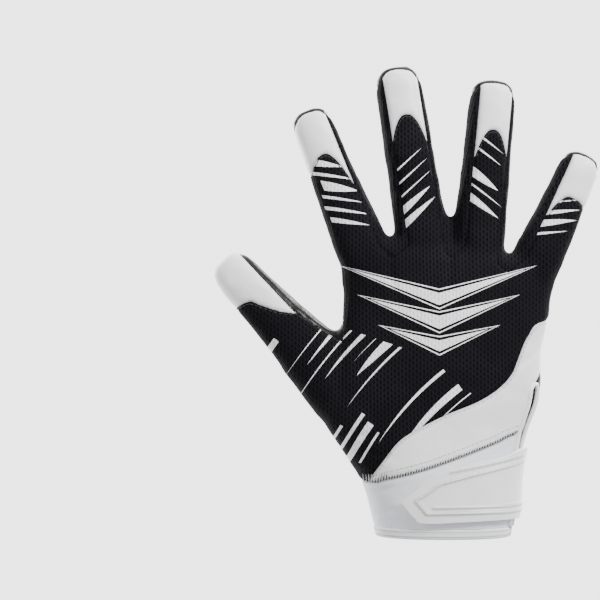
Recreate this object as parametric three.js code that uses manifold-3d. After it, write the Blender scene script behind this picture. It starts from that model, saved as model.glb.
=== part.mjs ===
// A football receiver glove for the right hand, standing on its hem as if a hand filled it.
// Millimetres. +Z runs from the wrist to the fingertips, the back of the hand faces -Y,
// the thumb is at -X, and the origin is the centre of the wrist opening at the hem's bottom.
import * as THREE from "three";
import { mergeVertices } from "three/addons/utils/BufferGeometryUtils.js";
import Module from "manifold-3d";

const wasm = await Module();
wasm.setup();

// Cloth and seams
const wall = 1.6; // thickness of every cloth panel
const seamGap = 0.3; // clearance between two panels that are sewn together
const far = 400; // reach of the cutting solids past the glove

// Hand and cuff
const palm = { length: 140, width: 103, depth: 38, squareness: 2.3, sides: 28 };
const curl = 8; // how far the fingertips bend towards the palm side
const seamShift = 4.5; // the palm's edge seam lies this far to the palm side of mid-depth
const hem = { height: 4.5, swell: 0.6 };
const slit = { top: 76, width: 4, y: -8 };
const slitBinding = { width: 2.2, swell: 0.7 };
const strap = { thickness: 2, ridge: 0.6, ridgeWidth: 1.1 };
const wrap = { depth: 14, fromX: -4, ramp: 12, low: 38, high: 62 }; // where the cuff turns round to the palm
const label = { thickness: 0.9, width: 9, length: 34, top: 38, x: -38, slant: 13 };

// Sections of the hand, from the hem up: height as a share of palm.length, the edges' x as shares of
// palm.width, and the depth as a share of palm.depth. The top ones slope down towards the little finger.
const palmSections = [
  { height: 0.0, left: -0.32, right: 0.32, depth: 1.14 },
  { height: 0.1, left: -0.354, right: 0.35, depth: 1.15 },
  { height: 0.2, left: -0.395, right: 0.355, depth: 1.12 },
  { height: 0.26, left: -0.45, right: 0.364, depth: 1.1 },
  { height: 0.31, left: -0.495, right: 0.38, depth: 1.07 },
  { height: 0.39, left: -0.57, right: 0.413, depth: 1.03 },
  { height: 0.475, left: -0.605, right: 0.462, depth: 1.0 },
  { height: 0.555, left: -0.58, right: 0.476, depth: 0.98 },
  { height: 0.655, left: -0.525, right: 0.472, depth: 0.95 },
  { height: 0.76, left: -0.487, right: 0.505, depth: 0.9 },
  { height: 0.845, left: -0.482, right: 0.522, depth: 0.84 },
  { height: 0.925, left: -0.495, right: 0.555, depth: 0.76 },
  { height: 0.99, left: -0.46, right: 0.52, depth: 0.66, slope: -0.1 },
  { height: 1.03, left: -0.4, right: 0.45, depth: 0.46, slope: -0.14 },
];

// The fingers: where the knuckle is, how far each leans to +X in degrees, its sizes, the across
// positions of the two seams on its back, and how far up those the prongs and the arch of the cap start.
const fingers = [
  {
    name: "index", x: -41.7, z: 146.5, lean: -21.9, length: 71.5, rootWidth: 26.8, tipWidth: 20.8,
    seamLeft: -22, seamRight: 8.4, prongLeft: 0.57, arch: 0.65, prongRight: 0.4,
  },
  {
    name: "middle", x: -10.2, z: 147.5, lean: -8.6, length: 88.2, rootWidth: 26.2, tipWidth: 23.8,
    seamLeft: -8, seamRight: 10, prongLeft: 0.59, arch: 0.71, prongRight: 0.54,
  },
  {
    name: "ring", x: 18, z: 150, lean: 6, length: 78.6, rootWidth: 25.8, tipWidth: 23.4,
    seamLeft: -7.2, seamRight: 9.8, prongLeft: 0.49, arch: 0.66, prongRight: 0.53,
  },
  {
    name: "pinky", x: 48.5, z: 141, lean: 25, length: 54.5, rootWidth: 25, tipWidth: 20.6,
    seamLeft: -6.3, seamRight: 22, prongLeft: 0.33, arch: 0.55, prongRight: 0.56,
  },
];
const fingerForm = { depthShare: 0.86, sides: 16, squareness: 2.3, buried: 24 };

// Sections of a finger: place along its length, how much of the way from root width to tip width, and
// the rounding of the tip.
const fingerSections = [
  { along: 0.0, taper: 0.0, round: 1.0 },
  { along: 0.28, taper: 0.45, round: 1.0 },
  { along: 0.58, taper: 0.85, round: 1.0 },
  { along: 0.8, taper: 1.0, round: 1.0 },
  { along: 0.9, taper: 1.0, round: 0.94 },
  { along: 0.96, taper: 1.0, round: 0.78 },
  { along: 1.0, taper: 1.0, round: 0.46 },
];

const thumb = {
  name: "thumb", x: -49, z: 72.5, lean: -43.4, length: 89.5, width: 25.5, drop: 9,
  depthShare: 0.84, rootDrop: 2,
};
// Sections of the thumb: place along its length, and the width as a share of thumb.width.
const thumbSections = [
  { along: -0.16, wide: 1.2, deep: 1.1 },
  { along: 0.0, wide: 1.5, deep: 1.25 },
  { along: 0.27, wide: 1.27, deep: 1.12 },
  { along: 0.42, wide: 1.11, deep: 1.04 },
  { along: 0.59, wide: 1.0, deep: 1.0 },
  { along: 0.74, wide: 0.92, deep: 0.93 },
  { along: 0.86, wide: 0.875, deep: 0.86 },
  { along: 0.94, wide: 0.76, deep: 0.72 },
  { along: 0.98, wide: 0.6, deep: 0.54 },
  { along: 1.0, wide: 0.42, deep: 0.36 },
];
// The cap's lower edge on the thumb: place along, and the across position as a share of thumb.width.
const thumbCapEdge = [
  { along: 0.77, across: -1.0 },
  { along: 0.73, across: -0.24 },
  { along: 0.65, across: -0.06 },
  { along: 0.5, across: 0.34 },
];
const thumbSeamAcross = 0.35; // where the silicone strip starts on the thumb's inner side

// Seams of the back, as x and height: shares of palm.width and palm.length.
const wristSeam = [
  { x: -0.9, z: 0.196 },
  { x: -0.39, z: 0.196 },
  { x: -0.28, z: 0.211 },
  { x: -0.11, z: 0.243 },
  { x: 0.07, z: 0.289 },
  { x: 0.24, z: 0.336 },
  { x: 0.37, z: 0.375 },
  { x: 0.9, z: 0.5 },
];
const sideSeam = [
  { x: 0.9, z: 0.764 },
  { x: 0.5, z: 0.764 },
  { x: 0.4, z: 0.707 },
  { x: 0.33, z: 0.59 },
  { x: 0.26, z: 0.53 },
  { x: 0.155, z: 0.482 },
  { x: 0.01, z: 0.439 },
  { x: -0.11, z: 0.396 },
  { x: -0.22, z: 0.346 },
  { x: -0.305, z: 0.268 },
  { x: -0.37, z: 0.2 },
];
const backOutline = [
  { x: -0.6, z: 0.964 },
  { x: -0.252, z: 0.996 },
  { x: 0.034, z: 0.985 },
  { x: 0.31, z: 0.946 },
  { x: 0.9, z: 0.9 },
  { x: 0.9, z: 0.1 },
  { x: -0.9, z: 0.1 },
  { x: -1.25, z: 0.6 },
  { x: -1.25, z: 0.9 },
  { x: -0.72, z: 0.79 },
  { x: -0.694, z: 0.778 },
  { x: -0.524, z: 0.707 },
  { x: -0.6, z: 0.76 },
];
const thumbRegion = [
  { x: -0.505, z: 0.735 },
  { x: -0.456, z: 0.643 },
  { x: -0.48, z: 0.543 },
  { x: -0.58, z: 0.457 },
  { x: -0.75, z: 0.4 },
  { x: -1.3, z: 0.6 },
  { x: -1.3, z: 1.04 },
  { x: -0.8, z: 1.01 },
  { x: -0.6, z: 0.86 },
];
// The strap's outline on the back, and a shorter one on the palm side where it is sewn on.
const strapOutline = [
  { x: -0.209, z: 0.132 },
  { x: -0.15, z: 0.171 },
  { x: -0.063, z: 0.229 },
  { x: 0.083, z: 0.26 },
  { x: 0.277, z: 0.289 },
  { x: 0.379, z: 0.318 },
  { x: 0.5, z: 0.32 },
  { x: 0.5, z: 0.071 },
  { x: 0.277, z: 0.069 },
  { x: 0.083, z: 0.064 },
  { x: -0.107, z: 0.057 },
  { x: -0.15, z: 0.086 },
];
const strapRoot = { x: 0.16, low: 0.074, high: 0.3 };
// Raised ridges of the strap, each from one point to another.
const strapRidges = [
  { x: -0.09, z: 0.14, toX: -0.02, toZ: 0.196 },
  { x: -0.02, z: 0.196, toX: 0.29, toZ: 0.246 },
  { x: -0.09, z: 0.114, toX: 0.37, toZ: 0.114 },
  { x: -0.075, z: 0.096, toX: 0.37, toZ: 0.096 },
];

// Solids
const clean = (geometry) => {
  const bare = new THREE.BufferGeometry();
  bare.setAttribute("position", geometry.getAttribute("position"));
  bare.setIndex(geometry.getIndex());
  return mergeVertices(bare, 1e-3);
};

function solid(geometry) {
  const merged = clean(geometry);
  return new wasm.Manifold(
    new wasm.Mesh({
      numProp: 3,
      vertProperties: merged.attributes.position.array,
      triVerts: new Uint32Array(merged.index.array),
    }),
  );
}

const joined = (solids) => solids.reduce((sum, each) => sum.add(each));

function largestBody(shape) {
  return shape.decompose().reduce((a, b) => (b.volume() > a.volume() ? b : a));
}

// A closed loft through rings of equally many points, its first ring at the root.
function loft(rings) {
  const sides = rings[0].length;
  const points = rings.flat();
  const triangles = [];
  for (let i = 0; i < rings.length - 1; i++)
    for (let j = 0; j < sides; j++) {
      const a = i * sides + j;
      const b = i * sides + ((j + 1) % sides);
      triangles.push(a, b, b + sides, a, b + sides, a + sides);
    }
  const last = (rings.length - 1) * sides;
  for (let j = 1; j < sides - 1; j++) {
    triangles.push(0, j + 1, j);
    triangles.push(last, last + j, last + j + 1);
  }
  const geometry = new THREE.BufferGeometry().setFromPoints(points);
  geometry.setIndex(triangles);
  return solid(geometry);
}

// One ring of a loft: a squared ellipse about a centre, half as wide along `across` and deep along +Y.
function ring(centre, across, halfWidth, halfDepth, form) {
  const depthWay = new THREE.Vector3(0, 1, 0);
  return Array.from({ length: form.sides }, (_, i) => {
    const angle = ((i + 0.5) / form.sides) * 2 * Math.PI;
    const cos = Math.cos(angle);
    const sin = Math.sin(angle);
    const bulge = (value) => Math.sign(value) * Math.abs(value) ** (2 / form.squareness);
    return centre
      .clone()
      .addScaledVector(across, halfWidth * bulge(cos))
      .addScaledVector(depthWay, halfDepth * bulge(sin));
  });
}

// Frame of a digit: its root, its direction and the direction across it.
function frameOf(digit) {
  const lean = THREE.MathUtils.degToRad(digit.lean);
  return {
    root: new THREE.Vector3(digit.x, 0, digit.z),
    along: new THREE.Vector3(Math.sin(lean), 0, Math.cos(lean)),
    across: new THREE.Vector3(Math.cos(lean), 0, -Math.sin(lean)),
  };
}

const knuckleHeight = fingers[0].z;
const reach = fingers[1].length;
const curlAt = (z) => curl * Math.max(0, (z - knuckleHeight) / reach) ** 1.5;

// Every form takes a swell: 0 for the outside, minus the wall for the hollow.
function fingerSolid(finger, swell) {
  const { root, along, across } = frameOf(finger);
  const rows = [{ along: -fingerForm.buried / finger.length, taper: 0, round: 0.9 }, ...fingerSections];
  return loft(
    rows.map((row) => {
      const width = THREE.MathUtils.lerp(finger.rootWidth, finger.tipWidth, row.taper) * row.round;
      const isTip = row.along > 0.95;
      const place = row.along * finger.length + (isTip ? swell : 0);
      const centre = root.clone().addScaledVector(along, place);
      centre.y = curlAt(centre.z);
      return ring(centre, across, width / 2 + swell, (width / 2) * fingerForm.depthShare + swell, fingerForm);
    }),
  );
}

function thumbSolid(swell) {
  const { root, along, across } = frameOf(thumb);
  return loft(
    thumbSections.map((row) => {
      const isTip = row.along > 0.93;
      const centre = root.clone().addScaledVector(along, row.along * thumb.length + (isTip ? swell : 0));
      centre.y = thumb.rootDrop + (thumb.drop - thumb.rootDrop) * row.along;
      const halfWidth = (row.wide * thumb.width) / 2;
      const halfDepth = (row.deep * thumb.width * thumb.depthShare) / 2;
      return ring(centre, across, halfWidth + swell, halfDepth + swell, fingerForm);
    }),
  );
}

function palmSolid(swell, bottom = 0) {
  const acrossWay = new THREE.Vector3(1, 0, 0);
  const rows = palmSections.map((row) => {
    const isTop = row.height > 0.95;
    const left = row.left * palm.width - swell;
    const right = row.right * palm.width + swell;
    const z = row.height * palm.length + (isTop ? swell : 0);
    const centre = new THREE.Vector3((left + right) / 2, 0, z);
    const points = ring(centre, acrossWay, (right - left) / 2, (row.depth * palm.depth) / 2 + swell, palm);
    for (const point of points) point.z += (row.slope ?? 0) * point.x;
    return points;
  });
  if (bottom < 0) rows.unshift(rows[0].map((p) => p.clone().setZ(bottom)));
  return loft(rows);
}

const handSolid = (swell, bottom) =>
  joined([palmSolid(swell, bottom), thumbSolid(swell), ...fingers.map((f) => fingerSolid(f, swell))]);

// Cutting solids
const inPalm = (rows) => rows.map((row) => new THREE.Vector2(row.x * palm.width, row.z * palm.length));

// An outline moved outwards by a distance, its corners kept sharp.
function grown(points, distance) {
  const outline = THREE.ShapeUtils.area(points) < 0 ? [...points].reverse() : points;
  return outline.map((point, i) => {
    const before = outline.at(i - 1);
    const after = outline[(i + 1) % outline.length];
    const inWay = point.clone().sub(before).normalize();
    const outWay = after.clone().sub(point).normalize();
    const inNormal = new THREE.Vector2(inWay.y, -inWay.x);
    const outNormal = new THREE.Vector2(outWay.y, -outWay.x);
    const miter = inNormal.add(outNormal).normalize();
    const share = Math.max(0.4, miter.dot(outNormal));
    return point.clone().addScaledVector(miter, distance / share);
  });
}

// A prism of an outline in x and z, from one depth to another.
function throughDepth(points, fromY = -far, toY = far) {
  const shape = new THREE.Shape(points);
  const geometry = new THREE.ExtrudeGeometry(shape, { depth: toY - fromY, bevelEnabled: false });
  geometry.rotateX(Math.PI / 2);
  geometry.translate(0, toY, 0);
  return solid(geometry);
}

// A prism of an outline in y and z, running along +X from a starting x.
function throughWidth(points, fromX) {
  const geometry = new THREE.ExtrudeGeometry(new THREE.Shape(points), { depth: far, bevelEnabled: false });
  const turn = new THREE.Matrix4().makeBasis(
    new THREE.Vector3(0, 1, 0),
    new THREE.Vector3(0, 0, 1),
    new THREE.Vector3(1, 0, 0),
  );
  geometry.applyMatrix4(turn);
  geometry.translate(fromX, 0, 0);
  return solid(geometry);
}

const boxBetween = (low, high) => {
  const size = new THREE.Vector3().subVectors(high, low);
  const middle = new THREE.Vector3().addVectors(high, low).multiplyScalar(0.5);
  const geometry = new THREE.BoxGeometry(size.x, size.y, size.z).translate(middle.x, middle.y, middle.z);
  return solid(geometry);
};

// Depth of the seam between the back of the glove and its palm side, at any place.
function seamDepth(x, z) {
  const { root, along } = frameOf(thumb);
  const share = ((x - root.x) * along.x + (z - root.z) * along.z) / thumb.length;
  const thumbShare = z < knuckleHeight ? THREE.MathUtils.clamp(share, 0, 1) : 0;
  const sideShare = THREE.MathUtils.clamp((wrap.fromX - x) / wrap.ramp, 0, 1);
  const lowShare = THREE.MathUtils.clamp((wrap.high - z) / (wrap.high - wrap.low), 0, 1);
  const turned = wrap.depth * sideShare * lowShare;
  const slitShare = THREE.MathUtils.clamp((slit.top + wrap.ramp - z) / wrap.ramp, 0, 1);
  const slitReach = THREE.MathUtils.clamp(x / wrap.ramp, 0, 1) * slitShare * (slit.y - seamShift);
  return seamShift + curlAt(z) + (thumb.drop - thumb.rootDrop) * thumbShare + turned + slitReach;
}

// Everything on the back side of the seam's surface, moved by a shift along +Y.
function backSide(shift) {
  const stepsX = 18;
  const stepsZ = 21;
  const left = -1.3 * palm.width;
  const right = 1.1 * palm.width;
  const bottom = -0.1 * palm.length;
  const top = knuckleHeight + 1.2 * reach;
  const points = [];
  const index = (layer, i, k) => layer * (stepsX + 1) * (stepsZ + 1) + k * (stepsX + 1) + i;
  for (const layer of [0, 1])
    for (let k = 0; k <= stepsZ; k++)
      for (let i = 0; i <= stepsX; i++) {
        const x = THREE.MathUtils.lerp(left, right, i / stepsX);
        const z = THREE.MathUtils.lerp(bottom, top, k / stepsZ);
        points.push(new THREE.Vector3(x, layer ? seamDepth(x, z) + shift : -far, z));
      }
  const triangles = [];
  const quad = (a, b, c, d) => triangles.push(a, b, c, a, c, d);
  for (let k = 0; k < stepsZ; k++)
    for (let i = 0; i < stepsX; i++) {
      quad(index(0, i, k), index(0, i + 1, k), index(0, i + 1, k + 1), index(0, i, k + 1));
      quad(index(1, i, k), index(1, i, k + 1), index(1, i + 1, k + 1), index(1, i + 1, k));
    }
  for (let i = 0; i < stepsX; i++) {
    quad(index(0, i, 0), index(1, i, 0), index(1, i + 1, 0), index(0, i + 1, 0));
    quad(index(0, i, stepsZ), index(0, i + 1, stepsZ), index(1, i + 1, stepsZ), index(1, i, stepsZ));
  }
  for (let k = 0; k < stepsZ; k++) {
    quad(index(0, 0, k), index(0, 0, k + 1), index(1, 0, k + 1), index(1, 0, k));
    quad(index(0, stepsX, k), index(1, stepsX, k), index(1, stepsX, k + 1), index(0, stepsX, k + 1));
  }
  const geometry = new THREE.BufferGeometry().setFromPoints(points);
  geometry.setIndex(triangles);
  return solid(geometry);
}

// Outlines in a digit's own frame, given along and across its length.
function inDigit(digit, rows) {
  const { root, along, across } = frameOf(digit);
  return rows.map((row) => {
    const place = root.clone().addScaledVector(along, row.along).addScaledVector(across, row.across);
    return new THREE.Vector2(place.x, place.z);
  });
}

const stripOutline = (f) =>
  inDigit(f, [
    { along: -fingerForm.buried, across: Math.max(f.seamLeft, -f.rootWidth / 2) },
    { along: -fingerForm.buried, across: Math.min(f.seamRight, f.rootWidth / 2) },
    { along: 0, across: f.seamRight },
    { along: f.length * 1.2, across: f.seamRight },
    { along: f.length * 1.2, across: f.seamLeft },
    { along: 0, across: f.seamLeft },
  ]);

// The cap of a finger: above an arch that runs down into a prong on each side.
function capOutline(f) {
  const archCentre = (f.seamLeft + f.seamRight) / 2;
  const outer = 0.55 * f.tipWidth;
  const low = Math.max(f.seamLeft, -outer);
  const high = Math.min(f.seamRight, outer);
  const middle = Math.abs(archCentre) > f.tipWidth / 4 ? (low + high) / 2 : archCentre;
  const at = (share, across) => ({ along: share * f.length, across });
  return inDigit(f, [
    at(f.prongLeft, f.seamLeft),
    at(f.prongLeft, low + 1),
    at(f.arch * 0.96, THREE.MathUtils.lerp(low, middle, 0.45)),
    at(f.arch, middle),
    at(f.arch * 0.96, THREE.MathUtils.lerp(high, middle, 0.45)),
    at(f.prongRight, high - 1),
    at(f.prongRight, f.seamRight),
    at(1.2, f.seamRight),
    at(1.2, f.seamLeft),
  ]);
}

const thumbCapOutline = inDigit(thumb, [
  ...thumbCapEdge.map((row) => ({ along: row.along * thumb.length, across: row.across * thumb.width })),
  { along: thumb.length * 0.86, across: thumbSeamAcross * thumb.width },
  { along: thumb.length * 1.2, across: thumbSeamAcross * thumb.width * 0.7 },
  { along: thumb.length * 1.2, across: -thumb.width },
]);

// Materials
const paint = (color, roughness, metalness = 0) =>
  new THREE.MeshStandardMaterial({ color, roughness, metalness, flatShading: true });
const meshCloth = paint(0x17181b, 0.85);
const whiteCloth = paint(0xf0f0ee, 0.55);
const silicone = paint(0x101013, 0.25);
const knit = paint(0xe3e7ee, 0.9);
const rubber = paint(0xf4f4f2, 0.5);

const glove = new THREE.Group();

function addPiece(name, shape, material) {
  const made = shape.getMesh();
  const geometry = new THREE.BufferGeometry();
  geometry.setAttribute("position", new THREE.BufferAttribute(made.vertProperties, 3));
  geometry.setIndex(new THREE.BufferAttribute(made.triVerts, 1));
  const mesh = new THREE.Mesh(geometry, material);
  mesh.name = name;
  glove.add(mesh);
}

// The hollow hand, without the band that the hem binding takes, and split by the slit.
const hemTop = hem.height + seamGap;
const aboveHem = boxBetween(new THREE.Vector3(-far, -far, hemTop), new THREE.Vector3(far, far, far));
const slitOutline = (extra) => {
  const half = slit.width / 2 + extra;
  const arc = new THREE.Path().absarc(slit.y, slit.top - slit.width / 2, half, 0, Math.PI).getPoints(8);
  return [new THREE.Vector2(slit.y - half, -far), new THREE.Vector2(slit.y + half, -far), ...arc];
};
const slitSide = 0.2 * palm.width;
const slitCut = throughWidth(slitOutline(0), slitSide);
const slitRoom = throughWidth(slitOutline(slitBinding.width + seamGap), slitSide);
const shell = handSolid(0).subtract(handSolid(-wall, -1)).intersect(aboveHem).subtract(slitRoom);

let back = shell.intersect(backSide(-seamGap / 2));
const wholeBackSide = backSide(seamGap / 2);
const palmSide = shell.subtract(wholeBackSide);

// Takes an outline's part out of the back, apart from a kept solid, and leaves a seam round it.
function takeFromBack(points, kept) {
  const prism = (extra) => {
    const whole = throughDepth(grown(points, extra));
    return kept ? whole.subtract(kept) : whole;
  };
  const taken = back.intersect(prism(0));
  back = back.subtract(prism(seamGap));
  return largestBody(taken);
}

addPiece("tip_cap_thumb", takeFromBack(thumbCapOutline), whiteCloth);
for (const finger of fingers) addPiece("tip_cap_" + finger.name, takeFromBack(capOutline(finger)), whiteCloth);

const seamPoints = inPalm(wristSeam);
const bottomLeft = new THREE.Vector2(seamPoints[0].x, -far);
const bottomRight = new THREE.Vector2(seamPoints.at(-1).x, -far);
addPiece("cuff", takeFromBack([bottomLeft, bottomRight, ...seamPoints.toReversed()]), knit);

const sidePoints = inPalm(sideSeam);
const underSeam = new THREE.Vector2(sidePoints.at(-1).x, 0);
const sideCorner = new THREE.Vector2(sidePoints[0].x, 0);
const thumbSidePalm = boxBetween(new THREE.Vector3(-far, 0, -far), new THREE.Vector3(0, far, far));
addPiece("side_panel", takeFromBack([sideCorner, ...sidePoints, underSeam], thumbSidePalm), whiteCloth);

// The back panel joins the hand's back with the strips that run up the fingers.
const handOutline = inPalm(backOutline);
const strips = fingers.map(stripOutline);
const backCut = (extra) => joined([handOutline, ...strips].map((points) => throughDepth(grown(points, extra))));
addPiece("back_panel", largestBody(back.intersect(backCut(0))), meshCloth);
const backRoom = backCut(seamGap);
back = back.subtract(backRoom);

// The strips between the fingers are what is left of the back between two tips.
for (const [first, second] of [[0, 1], [1, 2], [2, 3]]) {
  const [a, b] = [fingers[first], fingers[second]];
  const low = (f) => inDigit(f, [{ along: -fingerForm.buried / 2, across: 0 }])[0];
  const high = (f) => inDigit(f, [{ along: f.length * 1.1, across: 0 }])[0];
  const region = throughDepth([low(a), low(b), high(b), high(a)]);
  addPiece("fourchette_" + a.name + "_" + b.name, largestBody(back.intersect(region)), meshCloth);
}

// Palm side
const thumbOutline = inPalm(thumbRegion);
const thumbCut = throughDepth(thumbOutline);
const capRoom = throughDepth(grown(thumbCapOutline, seamGap));
const thumbBack = capRoom.add(backRoom).intersect(wholeBackSide);
addPiece("thumb_palm", largestBody(shell.intersect(thumbCut).subtract(thumbBack)), silicone);
const palmCut = palmSide.subtract(throughDepth(grown(thumbOutline, seamGap)));
addPiece("palm_panel", largestBody(palmCut), silicone);

// Bindings
const hemBand = palmSolid(hem.swell, -1)
  .subtract(palmSolid(-wall - hem.swell, -2))
  .subtract(boxBetween(new THREE.Vector3(-far, -far, hem.height), new THREE.Vector3(far, far, far)))
  .subtract(boxBetween(new THREE.Vector3(-far, -far, -far), new THREE.Vector3(far, far, 0)))
  .subtract(slitCut);
addPiece("hem_binding", largestBody(hemBand), knit);

const slitEdge = throughWidth(slitOutline(slitBinding.width), slitSide).subtract(slitCut);
const slitBand = palmSolid(slitBinding.swell)
  .subtract(palmSolid(-wall - slitBinding.swell, -1))
  .intersect(aboveHem)
  .intersect(slitEdge);
addPiece("slit_binding", largestBody(slitBand), rubber);

// Strap, laid over the slit's binding
const strapLift = slitBinding.swell + seamGap;
const strapPoints = inPalm(strapOutline);
const rootPoints = inPalm([
  { x: strapRoot.x, z: strapRoot.low },
  { x: 0.6, z: strapRoot.low },
  { x: 0.6, z: strapRoot.high },
  { x: strapRoot.x, z: strapRoot.high },
]);
const overCuff = (thickness) => palmSolid(strapLift + thickness, -1).subtract(palmSolid(strapLift, -2));
const strapCut = throughDepth(strapPoints, -far, 0).add(throughDepth(rootPoints, 0, far));
const ridgeCuts = strapRidges.map((row) => {
  const [from, to] = inPalm([row, { x: row.toX, z: row.toZ }]);
  const way = to.clone().sub(from).normalize();
  const side = new THREE.Vector2(-way.y, way.x).multiplyScalar(strap.ridgeWidth / 2);
  const corners = [from.clone().sub(side), to.clone().sub(side), to.clone().add(side), from.clone().add(side)];
  return throughDepth(corners, -far, 0);
});
const ridges = overCuff(strap.thickness + strap.ridge).intersect(joined(ridgeCuts));
const strapShape = overCuff(strap.thickness).intersect(strapCut).add(ridges.intersect(strapCut));
addPiece("strap", largestBody(strapShape), rubber);

// Label, lying on the cuff at the palm side
const labelOutline = [
  new THREE.Vector2(label.x + label.slant, label.top - label.length),
  new THREE.Vector2(label.x + label.slant + label.width, label.top - label.length),
  new THREE.Vector2(label.x + label.width, label.top),
  new THREE.Vector2(label.x, label.top),
];
const labelLift = hem.swell + seamGap;
const labelShape = palmSolid(labelLift + label.thickness, -1)
  .subtract(palmSolid(labelLift, -2))
  .intersect(throughDepth(labelOutline, 0, far));
addPiece("label", largestBody(labelShape), paint(0x0b0b0c, 0.9));

export default glove;
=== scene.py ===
# %% [markdown]
# A football receiver glove for the right hand, with the back of the hand to the camera.
# The real glove is sewn from thin panels: a sticky silicone palm, a ribbed mesh back, smooth white caps at
# the fingertips, narrow strips between the fingers, a knit cuff and a moulded strap. A hand fills it, so the
# panels take the hand's rounded form. This lesson makes that form once, cuts it along its seams as a
# tailor would cut a pattern, and then finishes each panel.

# %% Load the frame
import math

import bmesh
import bpy
import numpy as np
from mathutils import Matrix, Vector, noise
from mathutils.bvhtree import BVHTree
from mathutils.kdtree import KDTree


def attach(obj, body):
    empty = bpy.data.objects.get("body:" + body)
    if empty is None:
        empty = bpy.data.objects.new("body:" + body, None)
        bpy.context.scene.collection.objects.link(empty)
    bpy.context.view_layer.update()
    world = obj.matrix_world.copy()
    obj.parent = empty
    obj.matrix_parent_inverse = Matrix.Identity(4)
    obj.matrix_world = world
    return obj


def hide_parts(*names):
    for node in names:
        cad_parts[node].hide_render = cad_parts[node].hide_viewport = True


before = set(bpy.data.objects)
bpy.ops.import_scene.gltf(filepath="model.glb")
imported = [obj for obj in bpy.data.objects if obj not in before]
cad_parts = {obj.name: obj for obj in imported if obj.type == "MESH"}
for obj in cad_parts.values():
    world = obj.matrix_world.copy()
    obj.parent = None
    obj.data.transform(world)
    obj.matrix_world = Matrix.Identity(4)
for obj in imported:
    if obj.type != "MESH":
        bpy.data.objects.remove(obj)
bpy.context.view_layer.update()
MM = 0.001  # the lesson works in millimetres and scales each finished piece to metres

# %% [markdown]
# The camera stands where the photograph's does: level with the middle of the glove, far away with a long
# lens, so the fingers keep their true lengths. The photograph shows 300 mm across its width.

# %% Camera and studio
FRAME_WIDTH = 300.0
VIEW_CENTRE = Vector((-71.5, 0.0, 117.5))
LENS = 120.0
SENSOR = 36.0
CLIP_END = 20.0  # metres, past the far side of the tent
LIGHT_TARGET = Vector((0, 0, 120))  # the middle of the glove
LIGHTS = [
    dict(name="key", place=(700, -620, 860), size=(300, 420), watts=26),
    dict(name="fill", place=(-900, -700, 200), size=(500, 900), watts=3),
    dict(name="top", place=(100, -160, 1100), size=(800, 500), watts=6.5),
    dict(name="front_soft", place=(0, -1300, 150), size=(900, 700), watts=2),
    dict(name="palm_left", place=(620, 800, 520), size=(130, 800), watts=14),
    dict(name="palm_right", place=(-700, 700, 300), size=(100, 700), watts=9),
]
WORLD_GLOW = 0.1
# "paint" is the grey of the tent's cloth, "glow" the strength of its light at the far side, and "near" the
# share of it that is left on the camera's side.
TENT = {"radius": 3000.0, "glow": 3.0, "near": 0.06, "paint": 0.25, "rough": 0.95}


def add_camera():
    data = bpy.data.cameras.new("camera")
    data.lens = LENS
    data.sensor_width = SENSOR
    data.clip_end = CLIP_END
    camera = bpy.data.objects.new("camera", data)
    distance = FRAME_WIDTH * LENS / SENSOR
    camera.location = (VIEW_CENTRE + Vector((0, -distance, 0))) * MM
    camera.rotation_euler = (math.radians(90), 0, 0)
    bpy.context.scene.collection.objects.link(camera)
    bpy.context.scene.camera = camera


def add_light(name, place, size, watts):
    data = bpy.data.lights.new(name, "AREA")
    data.shape = "RECTANGLE"
    data.size, data.size_y = size[0] * MM, size[1] * MM
    data.energy = watts
    light = bpy.data.objects.new(name, data)
    light.location = Vector(place) * MM
    aim = LIGHT_TARGET - Vector(place)
    light.rotation_euler = aim.to_track_quat("-Z", "Y").to_euler()
    bpy.context.scene.collection.objects.link(light)


def add_world():
    world = bpy.data.worlds.new("studio")
    bpy.context.scene.world = world
    world.use_nodes = True
    background = world.node_tree.nodes["Background"]
    background.inputs["Color"].default_value = (1, 1, 1, 1)
    background.inputs["Strength"].default_value = WORLD_GLOW


def backdrop_paint():
    """Grey cloth that glows white on the far side, as a lit studio wall does."""
    paint = bpy.data.materials.new("backdrop_white")
    paint.use_nodes = True
    nodes, links = paint.node_tree.nodes, paint.node_tree.links
    place, split, glow = (nodes.new("ShaderNode" + kind) for kind in ("TexCoord", "SeparateXYZ", "ValToRGB"))
    near, far = glow.color_ramp.elements
    near.position, near.color = 0.0, (*[TENT["near"]] * 3, 1)
    far.position, far.color = 1.0, (1, 1, 1, 1)
    shader = nodes["Principled BSDF"]
    links.new(place.outputs["Object"], split.inputs[0])
    links.new(split.outputs["Y"], glow.inputs["Fac"])
    links.new(glow.outputs["Color"], shader.inputs["Emission Color"])
    shader.inputs["Base Color"].default_value = (*[TENT["paint"]] * 3, 1)
    shader.inputs["Roughness"].default_value = TENT["rough"]
    shader.inputs["Emission Strength"].default_value = TENT["glow"]
    return paint


def add_backdrop():
    """A round white tent. It hides its own edges from every side, so the glove seems to hang in white."""
    bm = bmesh.new()
    bmesh.ops.create_icosphere(bm, subdivisions=3, radius=TENT["radius"] * MM)
    bmesh.ops.reverse_faces(bm, faces=bm.faces)
    mesh = bpy.data.meshes.new("backdrop")
    bm.to_mesh(mesh)
    bm.free()
    for polygon in mesh.polygons:
        polygon.use_smooth = True
    backdrop = bpy.data.objects.new("backdrop", mesh)
    bpy.context.scene.collection.objects.link(backdrop)
    backdrop.data.materials.append(backdrop_paint())


add_camera()
add_backdrop()
for light_row in LIGHTS:
    add_light(**light_row)
add_world()
print("lights:", len(LIGHTS))

# %% [markdown]
# The hand inside the glove sets its form. Each finger is a tube of rounded sections that leans to its own
# side, and the palm and cuff are one wider tube. A few driving sizes and short tables of shares give every
# section, so that a longer finger or a wider cuff is one number.

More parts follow.
